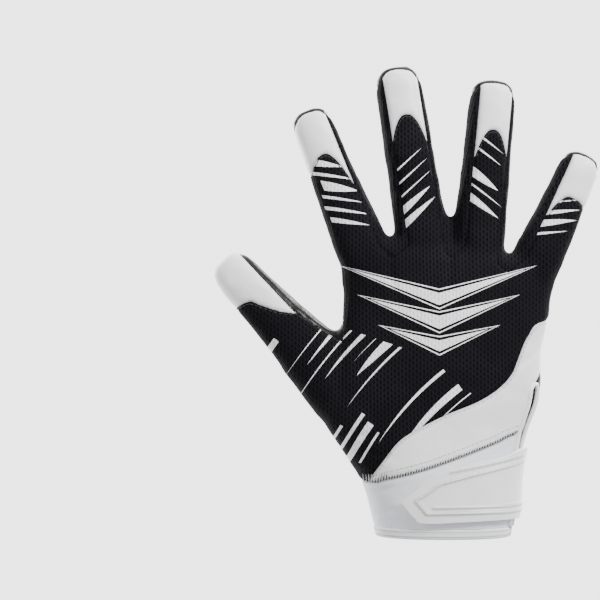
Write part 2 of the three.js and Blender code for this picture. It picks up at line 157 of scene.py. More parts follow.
# %% Sizes of the hand
PALM = {"length": 140.0, "width": 103.0, "depth": 38.0, "square": 2.3}
CURL = {"reach": 8.0, "power": 1.5}  # how far the fingertips bend towards the palm side, and how late
SEAM_SHIFT = 4.5  # the seam at the edge of the palm lies this far behind mid-depth
WALL = 1.4
FINGER_DEPTH = 0.86  # of a finger's width
BURIED = 24.0  # how far a finger's tube goes down into the palm's

PALM_SECTIONS = [
    dict(height=-0.03, left=-0.315, right=0.315, depth=1.12, slope=0),
    dict(height=0.0, left=-0.32, right=0.32, depth=1.14, slope=0),
    dict(height=0.1, left=-0.354, right=0.35, depth=1.15, slope=0),
    dict(height=0.2, left=-0.395, right=0.355, depth=1.12, slope=0),
    dict(height=0.26, left=-0.45, right=0.364, depth=1.1, slope=0),
    dict(height=0.31, left=-0.495, right=0.38, depth=1.07, slope=0),
    dict(height=0.39, left=-0.57, right=0.413, depth=1.03, slope=0),
    dict(height=0.475, left=-0.605, right=0.462, depth=1.0, slope=0),
    dict(height=0.555, left=-0.58, right=0.476, depth=0.98, slope=0),
    dict(height=0.655, left=-0.525, right=0.472, depth=0.95, slope=0),
    dict(height=0.76, left=-0.487, right=0.505, depth=0.9, slope=0),
    dict(height=0.845, left=-0.482, right=0.522, depth=0.84, slope=0),
    dict(height=0.925, left=-0.495, right=0.555, depth=0.76, slope=0),
    dict(height=0.99, left=-0.46, right=0.52, depth=0.66, slope=-0.1),
    dict(height=1.03, left=-0.4, right=0.45, depth=0.46, slope=-0.14),
]

# Where each knuckle is, the lean to +X in degrees, the sizes, the two seams across the back, and the shares
# of the length where the cap's prongs and arch start.
FINGERS = {
    "index": dict(x=-41.7, z=146.5, lean=-21.9, length=71.5, root=26.8, tip=20.8,
                  seam_left=-22, seam_right=8.4, cap_left=-9.8, cap_right=8.4,
                  prong_left=0.56, arch=0.66, prong_right=0.38),
    "middle": dict(x=-10.2, z=147.5, lean=-8.6, length=88.2, root=26.2, tip=23.8,
                   seam_left=-8, seam_right=10, cap_left=-8, cap_right=10,
                   prong_left=0.57, arch=0.715, prong_right=0.53),
    "ring": dict(x=18.0, z=150.0, lean=6.0, length=78.6, root=25.8, tip=23.4,
                 seam_left=-7.2, seam_right=9.8, cap_left=-7.2, cap_right=9.8,
                 prong_left=0.47, arch=0.67, prong_right=0.5),
    "pinky": dict(x=48.5, z=141.0, lean=25.0, length=54.5, root=25.0, tip=20.6,
                  seam_left=-6.3, seam_right=22, cap_left=-6.3, cap_right=10.5,
                  prong_left=0.31, arch=0.57, prong_right=0.54),
}
FINGER_SECTIONS = [
    dict(along=0.0, taper=0.0, round=1.0),
    dict(along=0.28, taper=0.45, round=1.0),
    dict(along=0.58, taper=0.85, round=1.0),
    dict(along=0.8, taper=1.0, round=1.0),
    dict(along=0.9, taper=1.0, round=0.96),
    dict(along=0.96, taper=1.0, round=0.83),
    dict(along=1.0, taper=1.0, round=0.52),
]
THUMB = dict(x=-49.0, z=72.5, lean=-43.4, length=89.5, width=25.5, depth=0.84, drop=9.0, root_drop=2.0)
THUMB_SECTIONS = [
    dict(along=-0.16, wide=1.2, deep=1.1),
    dict(along=0.0, wide=1.5, deep=1.25),
    dict(along=0.27, wide=1.27, deep=1.12),
    dict(along=0.42, wide=1.11, deep=1.04),
    dict(along=0.59, wide=1.0, deep=1.0),
    dict(along=0.74, wide=0.93, deep=0.94),
    dict(along=0.86, wide=0.89, deep=0.88),
    dict(along=0.94, wide=0.79, deep=0.76),
    dict(along=0.98, wide=0.64, deep=0.6),
    dict(along=1.0, wide=0.46, deep=0.42),
]


def axes_of(digit):
    """The root of a digit, the way along it and the way across it."""
    lean = math.radians(digit["lean"])
    root = Vector((digit["x"], 0, digit["z"]))
    return root, Vector((math.sin(lean), 0, math.cos(lean))), Vector((math.cos(lean), 0, -math.sin(lean)))


def curl_at(z):
    """How far a finger's middle lies towards the palm side at a height."""
    rise = np.clip((z - FINGERS["index"]["z"]) / FINGERS["middle"]["length"], 0, None)
    return CURL["reach"] * rise ** CURL["power"]


print("fingers:", ", ".join(FINGERS))

# %% [markdown]
# A tube of sections could be typed as a list of points, but then nobody could change it. Here each section
# is a circle that bmesh makes, squashed into a rounded rectangle, and bridge_loops joins it to the one
# before it. The two ends are filled, because the next step needs closed tubes.

# %% Tubes of rounded sections
def add_section(bm, centre, across, half_width, half_depth, count, slope=0.0):
    """One closed section: a circle squashed to the given half sizes, its corners squared a little."""
    verts = bmesh.ops.create_circle(bm, segments=count, radius=1.0)["verts"]
    power = 2 / PALM["square"]
    for v in verts:
        angle = math.atan2(v.co.y, v.co.x)
        cos, sin = math.cos(angle), math.sin(angle)
        wide = math.copysign(abs(cos) ** power, cos) * half_width
        deep = math.copysign(abs(sin) ** power, sin) * half_depth
        v.co = centre + across * wide + Vector((0, deep, 0))
        v.co.z += slope * v.co.x
    return verts


def edges_among(verts):
    chosen = set(verts)
    touching = dict.fromkeys(e for v in verts for e in v.link_edges)
    return [e for e in touching if e.verts[0] in chosen and e.verts[1] in chosen]


def add_tube(bm, sections, closed=True):
    """Joins sections, each a list of vertices, into one tube."""
    for one, other in zip(sections, sections[1:]):
        bmesh.ops.bridge_loops(bm, edges=edges_among(one) + edges_among(other))
    if closed:
        for end in (sections[0], sections[-1]):
            bmesh.ops.holes_fill(bm, edges=edges_among(end), sides=0)


def finger_sections(bm, digit, swell, count=24):
    root, along, across = axes_of(digit)
    rows = [dict(along=-BURIED / digit["length"], taper=0.0, round=0.9)] + FINGER_SECTIONS
    made = []
    for row in rows:
        width = (digit["root"] + (digit["tip"] - digit["root"]) * row["taper"]) * row["round"]
        centre = root + along * (row["along"] * digit["length"])
        centre.y = curl_at(centre.z)
        half = width / 2 + swell
        made.append(add_section(bm, centre, across, half, half * FINGER_DEPTH, count))
    return made


def thumb_sections(bm, swell, count=24):
    root, along, across = axes_of(THUMB)
    made = []
    for row in THUMB_SECTIONS:
        centre = root + along * (row["along"] * THUMB["length"])
        centre.y = THUMB["root_drop"] + (THUMB["drop"] - THUMB["root_drop"]) * row["along"]
        half_width = row["wide"] * THUMB["width"] / 2 + swell
        half_depth = row["deep"] * THUMB["width"] * THUMB["depth"] / 2 + swell
        made.append(add_section(bm, centre, across, half_width, half_depth, count))
    return made


def palm_sections(bm, swell, count=48, rows=PALM_SECTIONS):
    sideways = Vector((1, 0, 0))
    made = []
    for row in rows:
        left = row["left"] * PALM["width"] - swell
        right = row["right"] * PALM["width"] + swell
        centre = Vector(((left + right) / 2, 0, row["height"] * PALM["length"]))
        half_width = (right - left) / 2
        half_depth = row["depth"] * PALM["depth"] / 2 + swell
        made.append(add_section(bm, centre, sideways, half_width, half_depth, count, row["slope"]))
    return made


print("sections:", len(FINGERS) * (len(FINGER_SECTIONS) + 1) + len(THUMB_SECTIONS) + len(PALM_SECTIONS))


# %% [markdown]
# The six tubes cross each other. A voxel remesh turns them into one skin, as a hand's own skin flows from
# the palm into each finger. The voxels are coarse on purpose: smoothing then rounds the webs between the
# fingers, and one subdivision brings back a fine, even surface without voxel ripples.

# %% Blend the tubes into one skin
VOXEL = 2.2
SMOOTH_ROUNDS = 5
SWELL = 0.35  # smoothing pulls the skin in by about this much


def object_from(bm, name, scale=True):
    """Links a bmesh as an object, in metres when it is finished."""
    if scale:
        bmesh.ops.scale(bm, vec=(MM,) * 3, verts=bm.verts)
    mesh = bpy.data.meshes.new(name)
    bm.to_mesh(mesh)
    bm.free()
    made = bpy.data.objects.new(name, mesh)
    bpy.context.scene.collection.objects.link(made)
    return made


def relax(bm, verts, factor):
    """Moves each vertex part of the way to the middle of its neighbours."""
    bmesh.ops.smooth_vert(bm, verts=verts, factor=factor, use_axis_x=True, use_axis_y=True, use_axis_z=True)


def baked(obj):
    """The object's mesh with its modifiers applied, as a new bmesh; the object is removed."""
    evaluated = obj.evaluated_get(bpy.context.evaluated_depsgraph_get())
    bm = bmesh.new()
    bm.from_mesh(evaluated.to_mesh())
    evaluated.to_mesh_clear()
    bpy.data.objects.remove(obj)
    return bm


def hand_skin():
    bm = bmesh.new()
    for digit in FINGERS.values():
        add_tube(bm, finger_sections(bm, digit, SWELL))
    add_tube(bm, thumb_sections(bm, SWELL))
    add_tube(bm, palm_sections(bm, SWELL))
    bmesh.ops.recalc_face_normals(bm, faces=bm.faces)
    rough = object_from(bm, "rough_hand", scale=False)
    remesh = rough.modifiers.new("remesh", "REMESH")
    remesh.mode = "VOXEL"
    remesh.voxel_size = VOXEL
    bm = baked(rough)
    for _ in range(SMOOTH_ROUNDS):
        relax(bm, bm.verts, 0.5)
    smooth = object_from(bm, "smooth_hand", scale=False)
    finer = smooth.modifiers.new("finer", "SUBSURF")
    finer.levels = 1
    finer.render_levels = 1
    return baked(smooth)


skin = hand_skin()
print("skin:", len(skin.verts), "vertices,", len(skin.faces), "faces")

# %% [markdown]
# Cloth that is worn is never perfectly smooth. The silicone palm creases across each finger joint and round
# the root of the thumb, the back has softer ones, and everything carries a faint unevenness that makes the
# highlights wander. Each crease is a row of a table: a line across one side of the glove, its depth and its
# width. A crease has a valley with a low ridge on each side, which is the shape that pushed cloth takes.

# %% Folds and creases
PALM_SIDE, BACK_SIDE = 1, -1
JOINTS = [
    dict(along=0.08, depth=0.5, width=1.7, side=PALM_SIDE),
    dict(along=0.3, depth=0.75, width=1.5, side=PALM_SIDE),
    dict(along=0.36, depth=0.4, width=1.2, side=PALM_SIDE),
    dict(along=0.6, depth=0.65, width=1.4, side=PALM_SIDE),
    dict(along=0.66, depth=0.35, width=1.2, side=PALM_SIDE),
    dict(along=0.3, depth=0.3, width=2.2, side=BACK_SIDE),
    dict(along=0.38, depth=0.22, width=2.0, side=BACK_SIDE),
    dict(along=0.52, depth=0.25, width=2.0, side=BACK_SIDE),
]
CREASES = [
    dict(start=(-52, 92), end=(-22, 64), depth=1.0, width=2.4, side=PALM_SIDE),
    dict(start=(-47, 101), end=(-14, 82), depth=0.8, width=2.2, side=PALM_SIDE),
    dict(start=(-36, 60), end=(-14, 96), depth=0.6, width=2.6, side=PALM_SIDE),
    dict(start=(-44, 120), end=(30, 112), depth=0.7, width=2.6, side=PALM_SIDE),
    dict(start=(-20, 128), end=(46, 124), depth=0.6, width=2.2, side=PALM_SIDE),
    dict(start=(-30, 44), end=(34, 40), depth=0.6, width=2.4, side=PALM_SIDE),
    dict(start=(-36, 50), end=(28, 52), depth=0.4, width=2.0, side=PALM_SIDE),
    dict(start=(-78, 84), end=(-62, 104), depth=0.6, width=1.6, side=PALM_SIDE),
    dict(start=(-92, 100), end=(-78, 118), depth=0.6, width=1.5, side=PALM_SIDE),
    dict(start=(-56, 100), end=(-66, 78), depth=0.55, width=2.4, side=BACK_SIDE),
    dict(start=(-50, 98), end=(-52, 74), depth=0.5, width=2.6, side=BACK_SIDE),
    dict(start=(-46, 96), end=(-38, 72), depth=0.4, width=2.8, side=BACK_SIDE),
    dict(start=(-28, 140), end=(-24, 118), depth=0.7, width=3.0, side=BACK_SIDE),
    dict(start=(3, 144), end=(2, 122), depth=0.7, width=3.0, side=BACK_SIDE),
    dict(start=(32, 134), end=(27, 112), depth=0.7, width=3.0, side=BACK_SIDE),
    dict(start=(-46, 44), end=(-26, 40), depth=0.5, width=2.0, side=BACK_SIDE),
    dict(start=(-52, 52), end=(-30, 50), depth=0.45, width=2.2, side=BACK_SIDE),
    dict(start=(46, 92), end=(22, 76), depth=0.5, width=2.4, side=BACK_SIDE),
    dict(start=(50, 100), end=(40, 84), depth=0.4, width=2.0, side=BACK_SIDE),
    dict(start=(-37, 22), end=(-24, 26), depth=0.5, width=1.8, side=BACK_SIDE),
    dict(start=(-34, 12), end=(-22, 15), depth=0.5, width=1.8, side=BACK_SIDE),
]
JOINT_REACH = 0.55  # half a joint's crease, as a share of the finger's width at its root
FACING = 0.15  # a point belongs to the palm's or the back's side when its normal's y is past this
# A fine and a coarse wave: the finer one has "finer" times as many bumps and "share" of the height.
RIPPLE = {"height": 0.32, "size": 13.0, "finer": 2.3, "share": 0.5}


def all_creases():
    """The table's creases and those across the joints of every finger, as lines in x and z."""
    rows = list(CREASES)
    for digit in FINGERS.values():
        root, along, across = axes_of(digit)
        for joint in JOINTS:
            middle = root + along * (joint["along"] * digit["length"])
            reach = across * digit["root"] * JOINT_REACH
            start, end = middle - reach, middle + reach
            rows.append(dict(joint, start=(start.x, start.z), end=(end.x, end.z)))
    return rows


def beside_line(co, row):
    """The share of the way along a row's line and the distance from it, both as seen from the front."""
    start, end = np.array(row["start"], float), np.array(row["end"], float)
    way = end - start
    rel = co[:, [0, 2]] - start
    share = np.clip(rel @ way / (way @ way), 0, 1)
    return share, np.linalg.norm(rel - share[:, None] * way, axis=1)


def crease_height(co, side, row):
    """How far one crease moves each point along its normal. It fades towards both of its ends."""
    share, away = beside_line(co, row)
    away = away / row["width"]
    fade = np.sin(np.pi * np.clip(0.08 + 0.84 * share, 0, 1)) ** 0.7
    valley_and_ridges = (1 - 0.9 * away**2) * np.exp(-(away**2))
    return np.where(side == row["side"], -row["depth"] * fade * valley_and_ridges, 0.0)


def coordinates(bm):
    return np.array([v.co[:] for v in bm.verts])


def wrinkle(bm):
    bm.normal_update()
    co = coordinates(bm)
    facing = np.array([v.normal.y for v in bm.verts])
    side = np.where(facing > FACING, PALM_SIDE, np.where(facing < -FACING, BACK_SIDE, 0))
    height = sum(crease_height(co, side, row) for row in all_creases())
    for v, lift in zip(bm.verts, height):
        place = v.co / RIPPLE["size"]
        wave = noise.noise(place) + RIPPLE["share"] * noise.noise(place * RIPPLE["finer"])
        v.co += v.normal * (float(lift) + RIPPLE["height"] * wave)
    relax(bm, bm.verts, 0.3)


wrinkle(skin)
print("creases:", len(all_creases()))

# %% [markdown]
# A seam is where a number that is worked out for every point changes its sign: above or below a curve, left
# or right of a line along a finger, on the back or on the palm side. These numbers are called fields here.
# They are easy to change, and one cutting tool serves every seam.

# %% Seam fields
SLIT = {"top": 76.0, "width": 4.0, "y": -8.0, "from_x": 20.0}
WRAP = {"depth": 14.0, "from_x": -4.0, "ramp": 12.0, "low": 38.0, "high": 62.0}
HEM_TOP = 4.8
WRIST_SEAM = [(-0.9, 0.196), (-0.39, 0.196), (-0.28, 0.211), (-0.11, 0.243), (0.07, 0.289), (0.24, 0.336),
              (0.37, 0.375), (0.9, 0.5)]
SIDE_SEAM = [(-0.37, 0.2), (-0.305, 0.268), (-0.22, 0.346), (-0.11, 0.396), (0.01, 0.439), (0.155, 0.482),
             (0.26, 0.53), (0.33, 0.59), (0.4, 0.707), (0.5, 0.764), (0.9, 0.764)]
THUMB_SEAM = [(0.4, -0.75), (0.457, -0.58), (0.543, -0.48), (0.643, -0.456), (0.735, -0.505), (0.77, -0.58),
              (0.85, -0.64), (1.01, -0.75)]
NOTCHES = {("index", "middle"): dict(x=-25.5, z=138.0), ("middle", "ring"): dict(x=3.5, z=138.5),
           ("ring", "pinky"): dict(x=31.5, z=131.0)}
NOTCH_SLOPE = 0.9
CAP_POWER = 2.3
SIDE_TUCK = {"slope": 2.0, "ramp": 10.0}  # how soon the side panel ends behind the thumb's side of the wrist
OUTSIDE = 5.0  # the value of a field where it is simply outside
# From this share of a finger's length, the palm wraps over the tip up to where the skin's normal turns
# forward by "turn". "never" is past what a normal can reach, so no rim starts lower down.
RIM = {"from": 0.83, "blend": 0.1, "turn": 0.5, "never": 1.2, "reach": 14.0, "nearest": 6, "soften": 0.2}
THUMB_STRIP = dict(
    across=9.0, from_along=45.0, widens=0.25, x=-50.5, tip_x=-72.0, tip_from=126.0, bottom=90.0, top=145.0
)
THUMB_PALM_TOP = 143.0
THUMB_CAP = [(-1.0, 0.77), (-0.24, 0.735), (-0.06, 0.665), (0.12, 0.575), (0.34, 0.5), (0.8, 0.36)]


def smooth_curve(points, scale_x, scale_y, steps=10):
    """A Catmull-Rom curve through points given as shares, for np.interp."""
    p = np.array(points, float) * (scale_x, scale_y)
    p = np.vstack([2 * p[0] - p[1], p, 2 * p[-1] - p[-2]])
    made = []
    for a, b, c, d in zip(p, p[1:], p[2:], p[3:]):
        for t in np.linspace(0, 1, steps, endpoint=False):
            made.append(0.5 * (2 * b + (c - a) * t + (2 * a - 5 * b + 4 * c - d) * t**2
                               + (3 * b - a - 3 * c + d) * t**3))
    made.append(p[-2])
    made = np.array(made)
    return made[:, 0], made[:, 1]


def in_digit(co, digit):
    """Places along and across a digit."""
    root, along, across = axes_of(digit)
    x, z = co[:, 0] - root.x, co[:, 2] - root.z
    return x * along.x + z * along.z, x * across.x + z * across.z


def seam_depth(x, z):
    """The y of the seam between the back and the palm side."""
    lean = math.radians(THUMB["lean"])
    share = ((x - THUMB["x"]) * math.sin(lean) + (z - THUMB["z"]) * math.cos(lean)) / THUMB["length"]
    on_thumb = np.where(z < FINGERS["index"]["z"], np.clip(share, 0, 1), 0)
    thumb = on_thumb * (THUMB["drop"] - THUMB["root_drop"])
    low = np.clip((WRAP["high"] - z) / (WRAP["high"] - WRAP["low"]), 0, 1)
    wrap = WRAP["depth"] * np.clip((WRAP["from_x"] - x) / WRAP["ramp"], 0, 1) * low
    by_slit = np.clip((SLIT["top"] + WRAP["ramp"] - z) / WRAP["ramp"], 0, 1) * np.clip(x / WRAP["ramp"], 0, 1)
    return SEAM_SHIFT + curl_at(z) + thumb + wrap + by_slit * (SLIT["y"] - SEAM_SHIFT)


def back_field(co):
    return co[:, 1] - seam_depth(co[:, 0], co[:, 2])


def below_curve(points):
    xs, zs = smooth_curve(points, PALM["width"], PALM["length"])
    return lambda co: co[:, 2] - np.interp(co[:, 0], xs, zs)


def side_panel_field(co):
    height = below_curve(SIDE_SEAM)(co)
    behind = np.clip(co[:, 1], 0, None) * np.clip(-co[:, 0] / SIDE_TUCK["ramp"], 0, 1)
    past_wrist = co[:, 0] < SIDE_SEAM[0][0] * PALM["width"]
    return np.where(past_wrist, OUTSIDE, height + SIDE_TUCK["slope"] * behind)


def cap_fields(digit):
    middle = (digit["cap_left"] + digit["cap_right"]) / 2
    half = (digit["cap_right"] - digit["cap_left"]) / 2

    def arch(co):
        a, c = in_digit(co, digit)
        s = np.clip((c - middle) / half, -1, 1)
        prong = np.where(s < 0, digit["prong_left"], digit["prong_right"])
        edge = digit["arch"] - (digit["arch"] - prong) * np.abs(s) ** CAP_POWER
        return edge * digit["length"] - a

    return [
        arch,
        lambda co: digit["seam_left"] - in_digit(co, digit)[1],
        lambda co: in_digit(co, digit)[1] - digit["seam_right"],
    ]


def vertex_tree(bm):
    """Finds points of the skin, with their normals."""
    bm.normal_update()
    tree = KDTree(len(bm.verts))
    for index, v in enumerate(bm.verts):
        tree.insert(v.co, index)
    tree.balance()
    return tree, [v.normal.copy() for v in bm.verts]


def tip_rim(digit, tree, normals):
    """The narrow rim round a fingertip where the palm wraps over: where the skin begins to face forward."""

    def faces_forward(point):
        found = [
            (normals[index].y, 1 / (away + RIM["soften"]))
            for _, index, away in tree.find_n(point, RIM["nearest"])
        ]
        return sum(y * weight for y, weight in found) / sum(weight for _, weight in found)

    def field(co):
        a, c = in_digit(co, digit)
        share = np.clip((a / digit["length"] - RIM["from"]) / RIM["blend"], 0, 1)
        limit = RIM["turn"] * share - RIM["never"] * (1 - share)
        out = np.ones(len(co))
        for i in np.flatnonzero((share > 0) & (np.abs(c) < RIM["reach"])):
            out[i] = -(faces_forward(co[i]) + limit[i])
        return out

    return field


def thumb_cap_fields():
    across, along = smooth_curve(THUMB_CAP, THUMB["width"], THUMB["length"])

    def edge(co):
        a, c = in_digit(co, THUMB)
        return np.interp(c, across, along) - a

    return [
        edge,
        lambda co: in_digit(co, THUMB)[1] - THUMB_STRIP["across"],
        lambda co: co[:, 2] - THUMB_STRIP["top"],
    ]


def strip_fields(first, second):
    notch = NOTCHES[(first, second)]
    one, other = FINGERS[first], FINGERS[second]
    return [
        lambda co: one["seam_right"] - in_digit(co, one)[1],
        lambda co: in_digit(co, other)[1] - other["seam_left"],
        lambda co: notch["z"] + NOTCH_SLOPE * np.abs(co[:, 0] - notch["x"]) - co[:, 2],
    ]


def thumb_strip_fields():
    def edge(co):
        a, c = in_digit(co, THUMB)
        widening = THUMB_STRIP["widens"] * np.clip(THUMB_STRIP["from_along"] - a, 0, None)
        return THUMB_STRIP["across"] + widening - c

    def clear_of_hand(co):
        return co[:, 0] - np.where(co[:, 2] > THUMB_STRIP["tip_from"], THUMB_STRIP["tip_x"], THUMB_STRIP["x"])

    return [
        edge,
        clear_of_hand,
        lambda co: co[:, 2] - THUMB_STRIP["top"],
        lambda co: THUMB_STRIP["bottom"] - co[:, 2],
    ]


def thumb_palm_field(co):
    zs, xs = smooth_curve(THUMB_SEAM, PALM["length"], PALM["width"])
    inside = co[:, 0] - np.interp(co[:, 2], zs, xs)
    return np.maximum(inside, np.maximum(zs[0] - co[:, 2], co[:, 2] - THUMB_PALM_TOP))


def slit_field(co):
    half = SLIT["width"] / 2
    above = np.clip(co[:, 2] - (SLIT["top"] - half), 0, None)
    return np.hypot(co[:, 1] - SLIT["y"], above) - half


print("strips between fingers:", len(NOTCHES))

# %% [markdown]
# The cutting tool splits each edge exactly where a field is zero, joins the new points across the faces and
# tells which faces lie inside. A boolean could do the same, but it leaves slivers on a curved skin, and it
# would need a solid cutter for each seam.

# %% Cut the skin along its seams
SNAP = 0.02  # a point this near to a seam is taken as on it
PANELS = [
    "palm_panel",
    "back_panel",
    "side_panel",
    "cuff",
    "tip_cap_thumb",
    "tip_cap_index",
    "tip_cap_middle",
    "tip_cap_ring",
    "tip_cap_pinky",
    "fourchette_index_middle",
    "fourchette_middle_ring",
    "fourchette_ring_pinky",
    "thumb_palm",
]


def cut_along(bm, faces, field):
    """Splits faces where the field is zero. Returns those inside, where it is negative, and the rest."""
    verts = list(dict.fromkeys(v for f in faces for v in f.verts))
    numbers = field(np.array([v.co[:] for v in verts]))
    value = {v: (0.0 if abs(n) < SNAP else float(n)) for v, n in zip(verts, numbers)}
    on_line = [v for v in verts if value[v] == 0.0]
    for edge in dict.fromkeys(e for f in faces for e in f.edges):
        a, b = edge.verts
        if value[a] * value[b] < 0:
            share = value[a] / (value[a] - value[b])
            _, middle = bmesh.utils.edge_split(edge, a, share)
            value[middle] = 0.0
            on_line.append(middle)
    bmesh.ops.connect_verts(bm, verts=on_line)
    pool = dict.fromkeys(faces)
    pool.update(dict.fromkeys(f for v in on_line for f in v.link_faces))
    inside, outside = [], []
    for f in pool:
        if not f.is_valid or any(v not in value for v in f.verts):
            continue
        (inside if sum(value[v] for v in f.verts) < 0 else outside).append(f)
    return inside, outside


def take(bm, faces, fields, number):
    """Marks what lies inside all the fields with a panel's number and returns what is left."""
    layer = bm.faces.layers.int["panel"]
    left = []
    for field in fields:
        faces, outside = cut_along(bm, faces, field)
        left += outside
    for f in faces:
        f[layer] = number
    return [f for f in left if f.is_valid]


def keep_inside(bm, fields):
    """Cuts a skin along the fields and keeps only what lies inside them all."""
    layer = bm.faces.layers.int.new("panel")
    take(bm, list(bm.faces), fields, 1)
    bmesh.ops.delete(bm, geom=[f for f in bm.faces if f[layer] != 1], context="FACES")


def open_slit(bm):
    near = [f for f in bm.faces if f.calc_center_median().x > SLIT["from_x"]]
    inside, _ = cut_along(bm, near, slit_field)
    bmesh.ops.delete(bm, geom=inside, context="FACES")


def cut_panels(bm):
    """Parts the skin into panels. The order matters: each one takes its faces from what is left."""
    layer = bm.faces.layers.int.new("panel")
    cut_along(bm, list(bm.faces), lambda co: HEM_TOP - co[:, 2])
    below_hem = [f for f in bm.faces if f.calc_center_median().z < HEM_TOP]
    bmesh.ops.delete(bm, geom=below_hem, context="FACES")
    open_slit(bm)
    back, palm = cut_along(bm, list(bm.faces), back_field)
    number = PANELS.index
    tree, normals = vertex_tree(bm)
    for digit in FINGERS.values():
        back = take(bm, back, [tip_rim(digit, tree, normals)], number("palm_panel"))
    for name, digit in FINGERS.items():
        back = take(bm, back, cap_fields(digit), number("tip_cap_" + name))
    back = take(bm, back, thumb_cap_fields(), number("tip_cap_thumb"))
    for first, second in NOTCHES:
        back = take(bm, back, strip_fields(first, second), number(f"fourchette_{first}_{second}"))
    back = take(bm, back, thumb_strip_fields(), number("thumb_palm"))
    back = take(bm, back, [below_curve(WRIST_SEAM)], number("cuff"))
    back = take(bm, back, [side_panel_field], number("side_panel"))
    for f in back:
        f[layer] = number("back_panel")
    take(bm, palm, [thumb_palm_field], number("thumb_palm"))


cut_panels(skin)
panel_layer = skin.faces.layers.int["panel"]
counts = [0] * len(PANELS)
for f in skin.faces:
    counts[f[panel_layer]] += 1
print("faces per panel:", dict(zip(PANELS, counts)))

# %% [markdown]
# Every finish is worked out from numbers at each point of a surface, so nothing is painted by hand. Shader
# maths is easier to read as a formula than as boxes and wires. This small class wraps a socket, and each
# sum or product of wrapped sockets adds the Math node that does it.

# %% Shader maths
class Number:
    """A number that changes over a surface."""

    def __init__(self, shader, socket):
        self.shader, self.socket = shader, socket

    def _with(self, operation, *others):
        return self.shader.math(operation, self, *others)

    def __add__(self, other):
        return self._with("ADD", other)

    __radd__ = __add__

    def __sub__(self, other):
        return self._with("SUBTRACT", other)

    def __rsub__(self, other):
        return self.shader.math("SUBTRACT", other, self)

    def __mul__(self, other):
        return self._with("MULTIPLY", other)

    __rmul__ = __mul__

    def __truediv__(self, other):
        return self._with("DIVIDE", other)

    def __gt__(self, other):
        return self._with("GREATER_THAN", other)

    def __lt__(self, other):
        return self._with("LESS_THAN", other)

    def __abs__(self):
        return self._with("ABSOLUTE")

    def __pow__(self, other):
        return self._with("POWER", other)


class Shader:
    """One material and the nodes that make it."""

    def __init__(self, name):
        self.name = name
        self.material = bpy.data.materials.new(name)
        self.material.use_nodes = True
        self.tree = self.material.node_tree
        self.surface = self.tree.nodes["Principled BSDF"]
        given = self.node("ShaderNodeTexCoord")
        in_mm = {"Vector": given["Object"], "Scale": 1 / MM}
        self.place = self.node("ShaderNodeVectorMath", {"operation": "SCALE"}, in_mm)["Vector"]
        parts = self.node("ShaderNodeSeparateXYZ", {}, {"Vector": self.place})
        self.x, self.y, self.z = (Number(self, parts[axis]) for axis in "XYZ")
        facing = self.node("ShaderNodeSeparateXYZ", {}, {"Vector": given["Normal"]})
        sideways = abs(Number(self, facing["X"])) > abs(Number(self, facing["Y"]))
        self.around = self.x + (self.y - self.x) * sideways

    def node(self, kind, settings=None, values=None):
        """Adds a node with its settings, then the values or links of its sockets; gives its outputs."""
        made = self.tree.nodes.new(kind)
        for key, setting in (settings or {}).items():
            setattr(made, key, setting)
        for key, value in (values or {}).items():
            self.connect(made.inputs[key], value)
        return made.outputs

    def connect(self, target, value):
        if isinstance(value, Number):
            value = value.socket
        if isinstance(value, bpy.types.NodeSocket):
            self.tree.links.new(value, target)
        else:
            target.default_value = value

    def math(self, operation, *values):
        outputs = self.node("ShaderNodeMath", {"operation": operation}, dict(enumerate(values)))
        return Number(self, outputs[0])

    def vector(self, x, y, z):
        return self.node("ShaderNodeCombineXYZ", {}, {"X": x, "Y": y, "Z": z})["Vector"]

    def noise(self, size, detail=2.0, vector=None):
        """Soft noise with features about `size` millimetres across, from 0 to 1."""
        values = {"Vector": vector or self.place, "Scale": 1 / size, "Detail": detail}
        return Number(self, self.node("ShaderNodeTexNoise", {}, values)["Fac"])

    def attribute(self, name):
        return Number(self, self.node("ShaderNodeAttribute", {"attribute_name": name})["Fac"])

    def mix(self, share, one, other):
        """Goes from one colour to another; a Mix node for colours has its sockets at these numbers."""
        return self.node("ShaderNodeMix", {"data_type": "RGBA"}, {0: share, 6: one, 7: other})[2]

    def smooth(self, value, low, high):
        """Rises smoothly from 0 to 1 while the value goes from low to high."""
        settings = {"interpolation_type": "SMOOTHSTEP", "clamp": True}
        made = self.node("ShaderNodeMapRange", settings, {"Value": value, "From Min": low, "From Max": high})
        return Number(self, made["Result"])

    def highest(self, one, other):
        return self.math("MAXIMUM", one, other)

    def zigzag(self, value):
        """1 at every whole number, 0 halfway between."""
        return abs(self.math("FRACT", value) - 0.5) * 2

    def wave(self, value, pitch):
        """A soft wave between 0 and 1 that comes back every `pitch` millimetres."""
        return self.math("SINE", value * (2 * math.pi / pitch)) * 0.5 + 0.5

    def bump(self, height, distance):
        """Millimetres of relief from a height between 0 and 1."""
        values = {"Height": height, "Distance": distance * MM, "Strength": 1.0}
        self.connect(self.surface.inputs["Normal"], self.node("ShaderNodeBump", {}, values)["Normal"])

    def set(self, **values):
        """Sets sockets of the surface by name, with _ for a space, and keeps the material."""
        for key, value in values.items():
            self.connect(self.surface.inputs[key.replace("_", " ")], value)
        MATERIALS[self.name] = self.material


def grey(value):
    return (value, value, value, 1)


MATERIALS = {}
print("shader maths ready")

# %% [markdown]
# The print is made of streaks. Imagine the surface cut into equal lanes. Each lane holds one tapered streak,
# and a random number for each lane says where it starts and ends and how thick it is. Lanes that are rings
# round a far centre give long arcs, and lanes that are straight give slanted bars on the fingers. A table
# row sets each group, so the same formula dresses the whole glove. Nested chevrons fill the middle.

